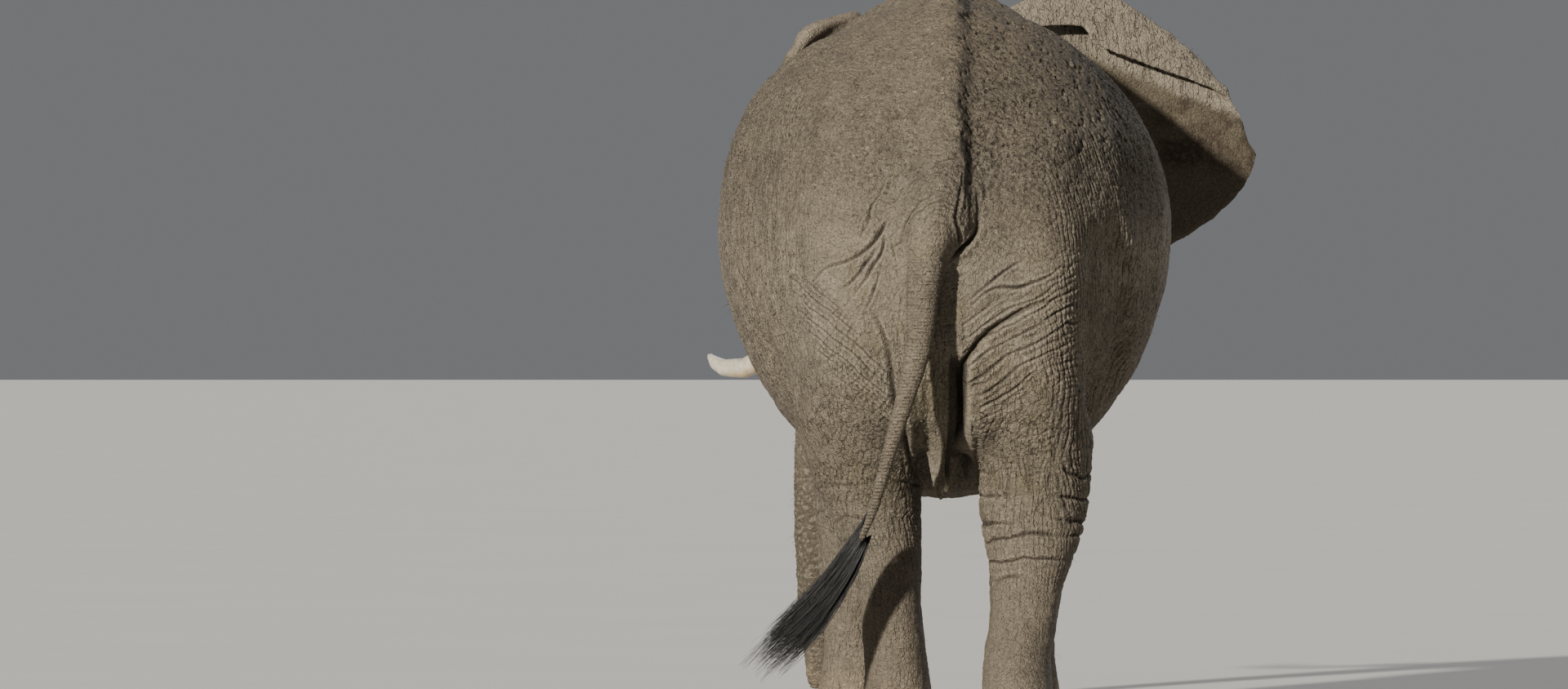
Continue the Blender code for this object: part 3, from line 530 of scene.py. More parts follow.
# The creases of the rear, told in the same way: the long ones on the inside of each thigh, and those beside
# the tail's base, of which the last stands apart.
RIGHT_CLEFT = [
    (0.66, 0.048, 0.015, [(-0.385, 1.476), (-0.275, 1.462), (-0.146, 1.386), (-0.076, 1.316), (-0.040, 1.25),
                          (-0.036, 1.16), (-0.042, 1.02), (-0.054, 0.92), (-0.075, 0.84)]),
]
LEFT_CLEFT = [
    (0.6, 0.022, 0.011, [(0.27, 1.46), (0.215, 1.33), (0.192, 1.16), (0.150, 1.01), (0.095, 0.84)]),
]
SLIT_CREASES = [
    (0.80, 0.022, 0.009, [(-0.086, 1.86), (-0.091, 1.79), (-0.088, 1.72), (-0.069, 1.684), (-0.034, 1.650),
                          (0.008, 1.600)]),
    (0.8, 0.009, 0.006, [(-0.024, 1.95), (-0.024, 1.88), (-0.014, 1.82), (0.004, 1.745), (-0.014, 1.685),
                         (-0.022, 1.645)]),
]
OUTER_SLIT = [(0.5, 0.008, 0.006, [(-0.10, 1.90), (-0.115, 1.84), (-0.10, 1.79)])]


def croup_relief(relief):
    """The ridge of the spine and sacrum, which falls away steeply on its right, and the crusted croup."""
    off, station, height = relief.body.T
    torso = relief.share("torso")
    bent = off + 0.022 - 0.020 * noise(relief.points, 0.25, 5) - 0.008 * noise(relief.points, 0.06, 6)
    rear = torso * fall(0.9, 1.3, station) * smooth_step(1.60, 1.72, height)
    crest = smooth_step(-0.055, 0.012, bent) * fall(0.0, 0.16, bent)
    relief.raise_by(0.024 * crest * rear)
    dip = bell(bent + 0.060, 0.030) * (0.6 + 0.4 * noise(relief.points, 0.09, 8))
    relief.raise_by(-0.009 * dip * rear)
    # The left half falls from the spine like a roof, fuller at its outer edge.
    upper = torso * fall(1.35, 1.6, station)
    roof = bell(off - 0.33, 0.15) * smooth_step(2.12, 2.32, height)
    relief.raise_by(-0.034 * roof * upper)
    eave = bell(off - 0.60, 0.09) * bell(height - 2.10, 0.13)
    relief.raise_by(0.016 * eave * upper)
    crusted = torso * smooth_step(0.0, 0.3, relief.upward + 0.6 * relief.rearward)
    crusted = crusted * smooth_step(1.62, 1.95, relief.roam[:, 2])
    lined = smooth_step(0.34, 0.50, -relief.roam[:, 0]) * fall(1.90, 2.08, relief.roam[:, 2])
    crusted = crusted * (1 - 0.7 * lined)
    right = smooth_step(-0.02, 0.05, -off)
    pits = smooth_step(0.12, 0.55, layered(relief.points, 0.022, 7, 2))
    relief.raise_by(-0.0075 * pits * crusted * (0.25 + 0.75 * right))
    lumps = noise(relief.points, 0.016, 9)
    relief.raise_by(0.0016 * lumps * crusted)


def thigh_relief(relief):
    """Folds of the thighs, seen from behind: fields are of the distance off the middle and height."""
    off, station, height = relief.body.T
    roam_off, roam_station, roam_height = relief.roam.T
    right, roam_right = -off, -roam_off
    behind = smooth_step(-0.15, 0.45, relief.rearward) * fall(0.9, 1.3, station)
    flesh = relief.share("torso", "hind_left_upper", "hind_right_upper", "hind_left_lower",
                         "hind_right_lower")
    seen = behind * flesh
    side_on = right + 0.9 * station

    # The right thigh: thick rolls that climb outward, parted by long creases.
    climb = height - 0.95 * right + 0.9 * right**2
    roam_climb = roam_height - 0.95 * roam_right + 0.9 * roam_right**2
    inward = smooth_step(-0.7, -0.1, relief.rearward) * fall(0.9, 1.3, station)
    seen_right = inward * flesh * smooth_step(0.030, 0.045, right)
    rolls = band(roam_right, -0.02, 0.38, 0.09) * band(roam_climb, 1.03, 1.30, 0.07) * seen_right
    relief.fold(0.013, climb - 0.010, 0.052, rolls, 0.11, seed=11, waver=0.4, broken=0.12)
    relief.fold(0.0045, climb, 0.024, rolls, 0.15, seed=12, waver=0.8, broken=0.55)
    upper = band(roam_right, 0.06, 0.40, 0.10) * band(roam_climb, 1.32, 1.52, 0.09) * seen_right
    relief.fold(0.0045, climb, 0.056, upper, 0.08, seed=14, waver=0.6, broken=0.5)
    relief.seams(RIGHT_THIGH_CREASES, seen_right, 440)
    bricks = band(roam_right, 0.26, 0.40, 0.06) * band(roam_climb, 0.98, 1.36, 0.07) * seen
    relief.fold(0.0080, right + 0.25 * height, 0.026, bricks, 0.14, seed=17, waver=0.5, broken=0.2)
    below = band(roam_right, -0.02, 0.34, 0.05) * band(roam_height, 0.86, 1.08, 0.05) * seen_right
    relief.fold(0.0055, right - 0.16 * height, 0.032, below, 0.12, seed=19, waver=0.5, broken=0.2)
    relief.fold(0.0035, climb, 0.030, below, 0.12, seed=16, waver=0.7, broken=0.5)

    # The right flank: steep lines that lean outward as they fall and cross the thigh's creases.
    lean = np.clip(0.25 + 1.2 * (right - 0.4), 0.2, 0.5)
    steep = side_on + lean * (height - 1.4)
    flank = smooth_step(0.28, 0.46, roam_right) * band(roam_height, 0.78, 1.94, 0.16)
    flank = flank * fall(0.8, 1.2, roam_station) * flesh
    relief.fold(0.0120, steep, 0.032, flank, 0.17, seed=21, waver=0.35, broken=0.15)
    relief.fold(0.0045, steep, 0.016, flank, 0.18, seed=22, waver=0.5, broken=0.4)
    cross = band(roam_right, 0.30, 0.46, 0.08) * band(roam_height, 1.05, 1.60, 0.12) * seen
    relief.fold(0.0060, climb, 0.034, cross, 0.14, seed=24, waver=0.5, broken=0.35)
    # Ahead of the thigh the flank is hollow, and swells again beyond a slanting edge.
    edge = np.minimum(0.56 + 0.33 * (1.81 - height), 0.63)
    level = band(height, 1.15, 1.64, 0.16) * fall(0.85, 1.1, station) * flesh
    hollow = smooth_step(0.42, 0.52, right) * fall(edge - 0.016, edge + 0.020, right)
    relief.raise_by(-0.044 * hollow * level)

    # The left flank: fine upright lines along the outline.
    fine = off - 0.27 * (height - 1.4) + 0.9 * station
    flank = smooth_step(0.36, 0.62, roam_off) * band(roam_height, 0.9, 2.10, 0.25)
    flank = flank * fall(0.9, 1.3, station) * flesh
    relief.fold(0.0065, fine, 0.021, flank, 0.17, seed=31, waver=0.6, broken=0.35)
    relief.fold(0.0060, fine, 0.050, flank, 0.12, seed=33, waver=0.8, broken=0.55)

    # The left thigh: creases fan down from a dimple, and others cross them lower down.
    dimple = np.hypot(off - DIMPLE[0], height - DIMPLE[1])
    angle = np.arctan2(DIMPLE[1] - height, off - DIMPLE[0])
    fan = band(dimple, 0.05, 0.36, 0.08) * band(angle, 0.35, 1.9, 0.25) * seen
    relief.fold(0.0050, angle * 0.17 + 0.12 * dimple, 0.026, fan, 0.10, seed=41, waver=0.6, broken=0.4)
    relief.raise_by(-0.009 * bell(dimple, 0.030) * seen)
    relief.seams(DIMPLE_CREASES, seen, 420)
    falling = height - 0.80 * off
    roam_falling = roam_height - 0.80 * roam_off
    low = band(roam_off, 0.16, 0.52, 0.05) * band(roam_falling, 0.94, 1.13, 0.05) * seen
    relief.fold(0.0125, falling - 0.009, 0.038, low, 0.10, seed=44, waver=0.22, broken=0.1)
    relief.fold(0.0070, 0.78 * off + 0.62 * height, 0.040, low, 0.09, seed=45, waver=0.5, broken=0.2)
    upright = band(roam_off, 0.10, 0.46, 0.07) * band(roam_height, 0.86, 1.26, 0.10) * seen
    relief.fold(0.0042, off + 0.25 * height, 0.036, upright, 0.11, seed=47, waver=0.5, broken=0.35)


def rear_relief(relief):
    """Between the thighs: the recess under the tail, its clefts, and the folds round the tail's base."""
    off, station, height = relief.body.T
    behind = smooth_step(-0.35, 0.35, relief.rearward) * fall(0.6, 0.9, station)
    seen = behind * (1 - relief.share(*TAIL_NODES, "fore_left_upper", "fore_right_upper"))
    recess = band(off - 0.10 * (height - 1.2), -0.025, 0.12, 0.030) * band(height, 0.93, 1.24, 0.10)
    relief.raise_by(-0.032 * recess * seen)
    relief.seams(RIGHT_CLEFT, seen, 46, bank=0.05)
    relief.seams(LEFT_CLEFT, seen, 49)
    strip = band(off - 0.10 * (height - 1.2), 0.03, 0.17, 0.03) * band(height, 0.88, 1.45, 0.10) * seen
    relief.fold(0.0065, off - 0.16 * height, 0.026, strip, 0.14, seed=50, waver=0.6, broken=0.25)
    hanging = relief.share("vulval_fold")
    slanting = off + 0.35 * height + 0.3 * station
    relief.fold(0.0080, slanting, 0.022, hanging, 0.15, seed=59, waver=0.9, broken=0.2)
    relief.raise_by(0.006 * layered(relief.points, (0.03, 0.05, 0.06), 60, 2) * hanging)
    shadowed = band(off, -0.04, 0.05, 0.02) * band(height, 0.85, 1.55, 0.08) * seen
    relief.fold(0.0040, height + 0.3 * off, 0.030, shadowed, 0.16, seed=56, waver=0.9, broken=0.3)

    # Round the tail's base: curved creases, and a knob of skin beside the slit on its right.
    base = np.hypot(off - 0.06, 0.75 * (height - 1.56))
    arcs = band(base, 0.09, 0.27, 0.05) * smooth_step(1.50, 1.62, height) * band(off, 0.0, 0.3, 0.04)
    relief.fold(0.0075, base, 0.028, arcs * seen, 0.13, seed=51, waver=0.8, broken=0.35)
    relief.seams(SLIT_CREASES, seen, 52)
    relief.seams(OUTER_SLIT, seen, 57)
    knob = bell(off + 0.042, 0.034) * bell(height - 1.73, 0.055)
    relief.raise_by(0.016 * knob * seen)
    relief.fold(0.0075, height + 0.8 * off, 0.024, knob * seen, 0.14, seed=54, waver=0.6)
    relief.fold(0.0050, height - 1.2 * off, 0.030, knob * seen, 0.14, seed=55, waver=0.8)
    beside = band(off, -0.34, -0.10, 0.06) * band(height, 1.50, 1.95, 0.08) * seen
    relief.fold(0.0050, height - 0.9 * off, 0.034, beside, 0.12, seed=58, waver=0.9, broken=0.55)


def flank_relief(relief):
    """Upright folds along the sides and neck, sagging skin at belly, groin and armpits, a knobbly spine."""
    off, station, height = relief.body.T
    side = np.abs(off)
    torso = relief.share("torso")
    sides = torso * smooth_step(0.75, 1.1, station) * band(height, 0.9, 2.25, 0.25)
    swing = station + 0.10 * np.sin(2.2 * height) + 0.25 * (1.7 - height) * smooth_step(1.2, 2.2, station)
    relief.fold(0.0035, swing, 0.030, sides, 0.2, seed=61, waver=0.8, broken=0.45)
    groin = band(station, 0.75, 1.25, 0.12) * band(height, 0.85, 1.45, 0.12) * torso
    relief.fold(0.009, station + 0.55 * height, 0.058, groin, 0.16, seed=64, waver=0.5, broken=0.2)
    armpit = band(station, 1.55, 1.85, 0.08) * band(height, 0.9, 1.5, 0.12) * torso
    armpit = armpit * smooth_step(0.3, 0.5, side)
    relief.fold(0.009, station - 0.35 * height, 0.050, armpit, 0.16, seed=67, waver=0.5, broken=0.2)
    belly = torso * smooth_step(0.2, 0.6, -relief.upward) * band(station, 0.7, 1.9, 0.1)
    relief.fold(0.004, side, 0.045, belly, 0.18, seed=70, waver=0.9, broken=0.4)
    neck = relief.share("neck") + torso * smooth_step(1.95, 2.2, station)
    neck = neck * smooth_step(0.1, 0.3, side)
    relief.fold(0.008, station + 0.12 * height, 0.055, neck, 0.16, seed=73, waver=0.5, broken=0.25)
    spine = torso * bell(off, 0.05) * smooth_step(0.3, 0.6, relief.upward)
    relief.raise_by(0.006 * spine * np.sin(station * 2 * math.pi / 0.11))
    relief.raise_by(0.007 * layered(relief.points, 0.22, 81, 2) * (torso + relief.share("neck")))


def leg_centre(relief, share):
    """The leg's middle line, from the skin's own points at each height."""
    mine = share > 0.6
    off, station, height = relief.body[mine].T
    levels = np.arange(0.0, 1.6, LEG_SLICE)
    offs, stations = [], []
    for level in levels:
        near = np.abs(height - level - LEG_SLICE / 2) < LEG_SLICE
        offs.append(off[near].mean() if near.any() else np.nan)
        stations.append(station[near].mean() if near.any() else np.nan)
    offs, stations = (np.where(np.isnan(row), np.nanmean(row), row) for row in (offs, stations))
    height = relief.body[:, 2]
    return np.interp(height, levels, offs), np.interp(height, levels, stations)


def leg_relief(relief, end, side):
    """Level creases at the joints, upright cracks between them, rings above the foot."""
    share = relief.share(f"{end}_{side}_upper", f"{end}_{side}_lower")
    off, station, height = relief.body.T
    middle_off, middle_station = leg_centre(relief, share)
    turn = np.arctan2(off - middle_off, station - middle_station)
    seed = 100 + 40 * ("fore", "hind").index(end) + 20 * ("left", "right").index(side)
    bow = 0.022 * np.cos(turn) * np.where(np.cos(turn) < 0, 1, -0.6)
    sway = 0.020 * noise(relief.points, 0.11, seed)
    level = height + bow + sway + 0.008 * noise(relief.points, 0.04, seed + 3)
    joint = JOINT_CREASES[end][side]
    gap = np.min([np.abs(level - place) for place in joint], axis=0)
    breaks = smooth_step(-0.55, 0.35, noise(relief.points, 0.13, seed + 1))
    wide = 0.0065 * (1 + 0.5 * noise(relief.points, 0.05, seed + 5))
    depth = {"left": 0.005, "right": 0.0095}[side] if end == "hind" else 0.006
    relief.cut(depth, bell(gap, wide), share * breaks)
    relief.raise_by(0.20 * depth * bell(gap - 0.020, 0.012) * share * breaks)
    relief.raise_by(0.009 * share * smooth_step(0.10, 0.30, height) * fall(1.15, 1.40, height))
    low, high = min(joint), max(joint)
    roam_height = relief.roam[:, 2]
    bricks = share * band(roam_height, low, high + 0.05, 0.08) * (1.0 if end == "hind" else 0.35)
    girth = turn * 0.13
    relief.fold(0.0065, girth + 0.1 * level, 0.034, bricks, 0.10, seed=seed + 2, waver=0.45, broken=0.3)
    relief.fold(0.0045, level, 0.026, bricks, 0.13, seed=seed + 4, waver=0.7, broken=0.5)
    shin = share * band(height, 0.24, low - 0.02, 0.05)
    relief.fold(0.0016, level, 0.013, shin, 0.2, seed=seed + 6, waver=0.8, broken=0.5)
    relief.fold(0.0016, girth, 0.012, shin, 0.2, seed=seed + 8, waver=0.8, broken=0.55)
    ankle = share * band(height, 0.14, 0.30, 0.04)
    relief.fold(0.0045, level, 0.030, ankle, 0.17, seed=seed + 10, waver=0.6, broken=0.35)
    thigh = share * smooth_step(high + 0.03, high + 0.12, height)
    if end == "fore":
        relief.fold(0.0035, girth + 0.25 * height, 0.022, thigh, 0.2, seed=seed + 12, waver=0.7, broken=0.4)
        relief.fold(0.004, level, 0.045, thigh, 0.14, seed=seed + 14, waver=0.9, broken=0.55)
    pad = share * fall(0.03, 0.06, height)
    relief.cut(0.004, bell(height - 0.035, 0.008), share)
    relief.raise_by(0.002 * noise(relief.points, 0.03, seed + 16) * pad * smooth_step(0.004, 0.02, height))


def trunk_relief(relief):
    """Rings down the trunk, deeper in front, and closer and rougher towards the tip."""
    left, forward, height = relief.head.T
    root = relief.share("head") * smooth_step(0.5, 0.62, forward) * band(height, 1.6, 2.02, 0.12)
    share = relief.share(*TRUNK_NODES) + root * fall(0.12, 0.19, np.abs(left))
    lower = fall(0.5, 1.7, height)
    front = smooth_step(-0.6, 0.4, -relief.rearward)
    run = height - 0.25 * (forward - 0.7) + 0.012 * noise(relief.points, 0.09, 200)
    upper_half = share * smooth_step(0.75, 0.95, height)
    lower_half = share * fall(0.75, 0.95, height)
    wide_rings, close_rings = upper_half * (0.45 + 0.55 * front), lower_half * (0.8 + 0.2 * front)
    relief.fold(0.0105, run, 0.046, wide_rings, 0.16, seed=201, waver=0.3, broken=0.1)
    relief.fold(0.0110, run, 0.026, close_rings, 0.17, seed=203, waver=0.5, broken=0.15)
    relief.raise_by(0.0035 * layered(relief.points, (0.030, 0.030, 0.018), 209, 2) * lower_half)
    relief.fold(0.003, run, 0.014, share, 0.2, seed=205, waver=0.8, broken=0.5)
    around = 0.12 * np.arctan2(left, forward - 0.7) + 0.1 * run
    relief.fold(0.0022, around, 0.02, share * (1 - 0.5 * lower), 0.2, seed=207, waver=0.9, broken=0.5)


def tail_relief(relief):
    """The tail and its stump, a little fuller than the solids, with fine and coarse rings."""
    share = relief.share(*TAIL_NODES)
    off, station, height = relief.body.T
    stump = relief.share("torso") * bell(off - 0.07, 0.08) * band(height, 1.50, 1.78, 0.06)
    relief.raise_by(np.maximum(share, stump) * (0.003 + 0.004 * smooth_step(1.1, 1.4, height)))
    run = height - 0.25 * off
    mask = np.maximum(share, stump * smooth_step(-0.06, 0.0, -station))
    relief.fold(0.0034, run, 0.0130, mask, 0.20, seed=221, waver=0.5, broken=0.3)
    relief.fold(0.0048, run, 0.036, mask, 0.13, seed=224, waver=0.7, broken=0.35)


def ear_relief(relief):
    """Veins and soft folds that spread from each ear's root, and the left ear's hump."""
    left = relief.head[:, 0]
    off, station, height = relief.body.T
    # The left ear's upper edge stands up in a round hump.
    hump = bell(off - 0.46, 0.10) * smooth_step(2.22, 2.36, height)
    hump = hump * relief.share("ear_left") * smooth_step(0.2, 0.8, relief.upward)
    relief.raise_by(0.035 * hump)
    for name, out in (("ear_right", RIGHT_EAR_ROOT - left), ("ear_left", (LEFT_EAR_ROOT - station) * 1.2)):
        share = relief.share(name)
        up = height - EAR_HEIGHT
        reach = np.hypot(out + 0.25, up)
        turn = np.arctan2(up, out + 0.25)
        spread = np.stack((turn * 0.9, reach * 0.28, np.zeros(len(reach))), 1)
        veins = 1 - np.abs(layered(spread, 0.11, 231, 3)) * 4
        relief.raise_by(0.0035 * np.clip(veins, -1, 1) * share * smooth_step(0.0, 0.15, out))
        relief.raise_by(0.006 * layered(spread, 0.22, 235, 2) * share)
        fine = share * smooth_step(0.1, 0.3, out)
        relief.fold(0.0018, turn * 0.75, 0.016, fine, 0.2, seed=237, waver=0.9, broken=0.5)
        root = share * fall(0.06, 0.16, out)
        relief.fold(0.006, out + 0.1 * up, 0.028, root, 0.17, seed=239, waver=0.6, broken=0.2)


def face_relief(relief):
    """Brow, cheek, mouth and the wrinkles round the eyes."""
    left, forward, height = relief.head.T
    face = relief.share("head", "lower_jaw", "trunk_upper")
    side = np.abs(left)
    profile_view = np.stack((forward, height), 1)
    flank = smooth_step(0.10, 0.16, side)
    corners = [(0.66, 1.44), (0.58, 1.505), (0.48, 1.56), (0.39, 1.60), (0.34, 1.645)]
    mouth, _ = near_curve(profile_view, corners, 0.1)
    relief.cut(0.020, bell(mouth, 0.012), face * flank)
    lip = bell(mouth - 0.03, 0.018)
    relief.raise_by(0.006 * lip * face * flank)
    cheek = band(mouth, 0.03, 0.17, 0.03) * face * flank * smooth_step(0.1, 0.25, forward)
    relief.fold(0.005, mouth, 0.030, cheek, 0.16, seed=251, waver=0.6, broken=0.35)
    temple = bell(forward - 0.33, 0.10) * bell(height - 2.20, 0.13)
    relief.raise_by(-0.024 * temple * face * smooth_step(0.1, 0.2, side))
    brow = bell(forward - 0.50, 0.07) * bell(height - 2.035, 0.035)
    relief.raise_by(0.012 * brow * face * smooth_step(0.15, 0.2, side))
    bone, _ = near_curve(profile_view, [(0.42, 1.90), (0.30, 1.86), (0.16, 1.87)], 0.12)
    relief.raise_by(0.010 * bell(bone, 0.035) * face * flank)
    for number, node in enumerate(EYES):
        gap = relief.points - eyeball(node)[0]
        along = gap @ np.array(head_direction(0, 1, 0))
        rise = gap[:, 2] + 0.25 * along
        ring = np.hypot(along * 0.8, rise * 1.15)
        near = band(ring, 0.026, 0.085, 0.012) * face * (np.linalg.norm(gap, axis=1) < 0.16)
        relief.fold(0.0042, ring, 0.0125, near, 0.18, seed=261 + number, waver=0.35, broken=0.2)
    forehead = face * smooth_step(0.3, 0.42, forward) * smooth_step(1.9, 2.1, height)
    relief.fold(0.0022, height - 0.5 * forward, 0.026, forehead, 0.2, seed=271, waver=0.9, broken=0.5)
    chin = relief.share("lower_jaw")
    relief.fold(0.004, forward + 0.4 * height, 0.034, chin, 0.17, seed=275, waver=0.8, broken=0.35)
    behind_eye = face * band(forward, 0.02, 0.42, 0.05) * band(height, 1.62, 2.2, 0.1) * flank
    relief.fold(0.0035, forward + 0.2 * height, 0.034, behind_eye, 0.16, seed=278, waver=0.9, broken=0.45)


def overall_relief(relief):
    """The net of cracks that covers the whole hide, and its pebbled grain."""
    station, height = relief.body[:, 1], relief.body[:, 2]
    tail = relief.share(*TAIL_NODES)
    plain = 1 - np.clip(relief.share(*EAR_NODES) + tail, 0, 1)
    facing_up = smooth_step(0.2, 0.8, relief.upward)
    fine = smooth_step(0.0, 0.3, relief.rearward) * fall(0.9, 1.4, station)
    shins = relief.share(*LEG_NODES) * fall(0.55, 0.85, height)
    relief.net(0.0030, (0.055, 0.055, 0.075), plain * (1 - 0.4 * fine) * (1 - 0.3 * shins), 301)
    relief.net(0.0017, (0.022, 0.022, 0.036), plain * (1 - 0.3 * facing_up) * (1 - 0.5 * shins), 305)
    even = plain * (1 - 0.6 * shins)
    relief.raise_by(0.0007 * noise(relief.points, 0.012, 311) * (even + 0.4 * tail))
    relief.raise_by(0.0003 * noise(relief.points, 0.007, 313) * even)
    relief.raise_by(0.0011 * noise(relief.points, 0.035, 315) * even)


def eyeball(node):
    """An eye's centre and radius."""
    low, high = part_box(node)
    return np.array((low + high) / 2), (high.z - low.z) / 2


def head_direction(left, forward, up):
    """A direction of the turned head, in the shared frame."""
    cos, sin = math.cos(HEAD_YAW), math.sin(HEAD_YAW)
    return Vector((left * cos + forward * sin, left * sin - forward * cos, up))


def set_lids(points, normals):
    """Lids drawn over each eyeball, open in an almond."""
    for node in EYES:
        centre, ball = eyeball(node)
        gap = points - centre
        near = np.linalg.norm(gap, axis=1) < 4 * ball
        face_out = normals[near].mean(0)
        face_out /= np.linalg.norm(face_out)
        ahead = np.array(head_direction(0, 1, 0))
        ahead -= face_out * (ahead @ face_out)
        ahead /= np.linalg.norm(ahead)
        up = np.cross(ahead, face_out)
        up *= np.sign(up[2])
        local = gap[near]
        along, rise, out = local @ ahead, local @ up, local @ face_out
        rise = rise + LID_SLANT * along
        reach = np.hypot(along, rise)
        dome = np.sqrt(np.maximum(ball**2 - reach**2, 0))
        cover = (dome + LID_THICKNESS) * fall(0.8 * ball, 1.9 * ball, reach)
        lid = np.maximum(out, cover)
        arch = np.where(rise > 0, LID_OPENING[1], LID_OPENING[2])
        opening = (np.abs(along) / LID_OPENING[0]) ** 1.6 + (np.abs(rise) / arch) ** 2
        inside = fall(0.75, 1.25, opening)
        sunk = np.minimum(out, dome - EYE_SOCKET)
        moved = lid * (1 - inside) + sunk * inside
        change = np.zeros(points.shape)
        change[near] = (moved - out)[:, None] * face_out
        points = points + change
    return points


def finer_where_it_shows(mesh):
    """The hindquarters, the face and the trunk in finer faces, and the eyelids finer still."""
    points, normals = coordinates(mesh), normals_of(mesh)
    body, head = body_frame(points), head_frame(points)
    rear = (normals[:, 1] > 0.12) & (body[:, 1] < 0.95)
    ear_back = (normals[:, 1] > 0.3) & (points[:, 2] > 1.3) & (body[:, 1] > 2.2) & (body[:, 0] < 0.1)
    face = (head[:, 1] > 0.25) & (head[:, 1] < 1.0) & (np.abs(head[:, 0]) < 0.34) & (normals[:, 1] < 0.4)
    refined(mesh, rear | ear_back | face)
    edges = edges_of(mesh)
    place_vertices(mesh, relaxed(coordinates(mesh), edges, 2))
    points = coordinates(mesh)
    near = np.zeros(len(points), bool)
    for node in EYES:
        near |= np.linalg.norm(points - eyeball(node)[0], axis=1) < EYE_DETAIL
    refined(mesh, near)
    place_vertices(mesh, relaxed(coordinates(mesh), edges_of(mesh), 1))


def store(mesh, name, values):
    layer = mesh.attributes.new(name, "FLOAT", "POINT")
    layer.data.foreach_set("value", values.astype(np.float32))


def colour_marks(mesh, relief, edges):
    """Where the hide is dusty, muddy or stained, and where it gets painted shade in its creases, hollows,
    cleft and underside and painted light on its ridges and upper right flank, from its folds and its places.
    """
    off, station, height = relief.body.T
    roam_off, _, roam_height = relief.roam.T
    # Painted shade in hollows and painted light on ridges: how far each point lies below or above its
    # smoothed neighbours.
    hollow = relaxed(relief.height, edges, HOLLOW_SHADE_STEPS) - relief.height
    store(mesh, "hollow", np.clip(hollow / HOLLOW_SHADE_DEPTH, -1, 1))
    behind = smooth_step(-0.1, 0.5, relief.rearward)
    # Painted shade in the cleft between the thighs and under the belly, added to the painted shade in the
    # creases.
    between = band(off, -0.045, 0.0, 0.02) * band(height, 0.90, 1.26, 0.06)
    between = between * behind * fall(0.5, 0.8, station)
    belly_shade = smooth_step(0.2, 0.8, -relief.upward) * relief.share("torso")
    dark = np.maximum(between * (1 - relief.share(*TAIL_NODES)), 0.45 * belly_shade)
    store(mesh, "crease", np.clip(np.maximum(relief.crease, dark), 0, 1))
    fold = smooth_step(-0.02, 0.02, height - 2.372 - 0.405 * np.minimum(off + 0.543, 0))
    back_of_ear = relief.share("ear_right") * (1 - fold) * behind
    ear_mud = back_of_ear * band(roam_height, 1.99, 2.20, 0.05) * smooth_step(0.74, 0.84, -roam_off)
    ear_mud = ear_mud * smooth_step(-0.55, 0.05, layered(relief.points, 0.07, 401, 3))
    store(mesh, "mud", np.clip(ear_mud, 0, 1))
    thighs = relief.share("torso", "hind_left_upper", "hind_right_upper", "hind_left_lower", "vulval_fold")
    inner = thighs * behind * band(np.abs(roam_off), 0.04, 0.30, 0.09) * band(roam_height, 0.85, 1.60, 0.12)
    store(mesh, "stain", inner * smooth_step(-0.3, 0.5, layered(relief.points, 0.13, 405, 3)))
    croup = smooth_step(1.55, 2.0, roam_height) * relief.share("torso")
    croup = croup * smooth_step(0.0, 0.3, relief.upward + relief.rearward)
    right = smooth_step(-0.02, 0.06, -off)
    store(mesh, "crust", croup * (0.45 + 0.55 * right))
    store(mesh, "flakes", croup * (1 - 0.7 * right))
    feet = fall(0.05, 0.28, height)
    back = smooth_step(0.4, 0.9, relief.upward)
    store(mesh, "dust", np.clip(0.8 * feet + 0.5 * back, 0, 1))
    store(mesh, "ear", np.clip(relief.share(*EAR_NODES) * (1 - 0.9 * fold * behind), 0, 1))
    legs = relief.share(*LEG_NODES)
    sides = relief.share("torso", "neck") * smooth_step(0.35, 0.7, np.abs(off))
    ear_fold = relief.share("ear_right") * fold * behind
    upright = legs * (0.25 + 0.75 * band(height, 0.95, 1.05, 0.35)) + sides + 0.8 * ear_fold
    store(mesh, "upright", np.clip(upright, 0, 1))
    # The ear's rolled-over fold in its own paler tone, and painted light on the upper right flank.
    flank_painted_light = smooth_step(0.38, 0.52, -roam_off) * band(roam_height, 1.60, 2.10, 0.15)
    flank_painted_light = flank_painted_light * relief.share("torso") * fall(1.0, 1.3, station)
    store(mesh, "pale", np.clip(ear_fold + flank_painted_light, 0, 1))
    trunk, tail = relief.share(*TRUNK_NODES), relief.share(*TAIL_NODES)
    store(mesh, "level", np.clip(trunk + tail, 0, 1))
    store(mesh, "rings", tail)
    bark = trunk * fall(0.7, 1.4, height) + 0.35 * tail
    store(mesh, "bark", np.clip(bark + 0.42 * legs * fall(0.9, 1.4, height), 0, 1))


def dressed_skin():
    """The one skin over all the nodes of flesh, with its relief, its eyelids and its marks."""
    piece = skin_form()
    mesh = piece.data
    finer_where_it_shows(mesh)
    points, edges = coordinates(mesh), edges_of(mesh)
    shares = region_shares(points, edges)
    for names, steps in ((EAR_NODES, EAR_MARGIN_STEPS), (["vulval_fold"], BLUNTING_STEPS)):
        blunt = sum(shares[name] for name in names)[:, None]
        points = points * (1 - blunt) + relaxed(points, edges, steps) * blunt
    place_vertices(mesh, points)
    normals = relaxed(normals_of(mesh), edges, 3)
    normals /= np.linalg.norm(normals, axis=1)[:, None]
    relief = Relief(points, normals, shares)
    croup_relief(relief)
    thigh_relief(relief)
    rear_relief(relief)
    flank_relief(relief)
    for end, side in LEGS:
        leg_relief(relief, end, side)
    trunk_relief(relief)
    tail_relief(relief)
    ear_relief(relief)
    face_relief(relief)
    overall_relief(relief)
    points = points + normals * (relief.height - SKIN_DEPTH)[:, None]
    points = set_lids(points, normals)
    points = np.clip(points, BOX_LOW + FLOOR_GAP, BOX_HIGH - FLOOR_GAP)
    place_vertices(mesh, points)
    colour_marks(mesh, relief, edges)
    mesh.shade_smooth()
    mesh.materials.append(skin_material())
    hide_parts(*BODY_NODES, *LEG_NODES, *EAR_NODES, *TAIL_NODES)
    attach(piece, "root")
    return piece


# --------------------------------------------------------------------------------- the materials

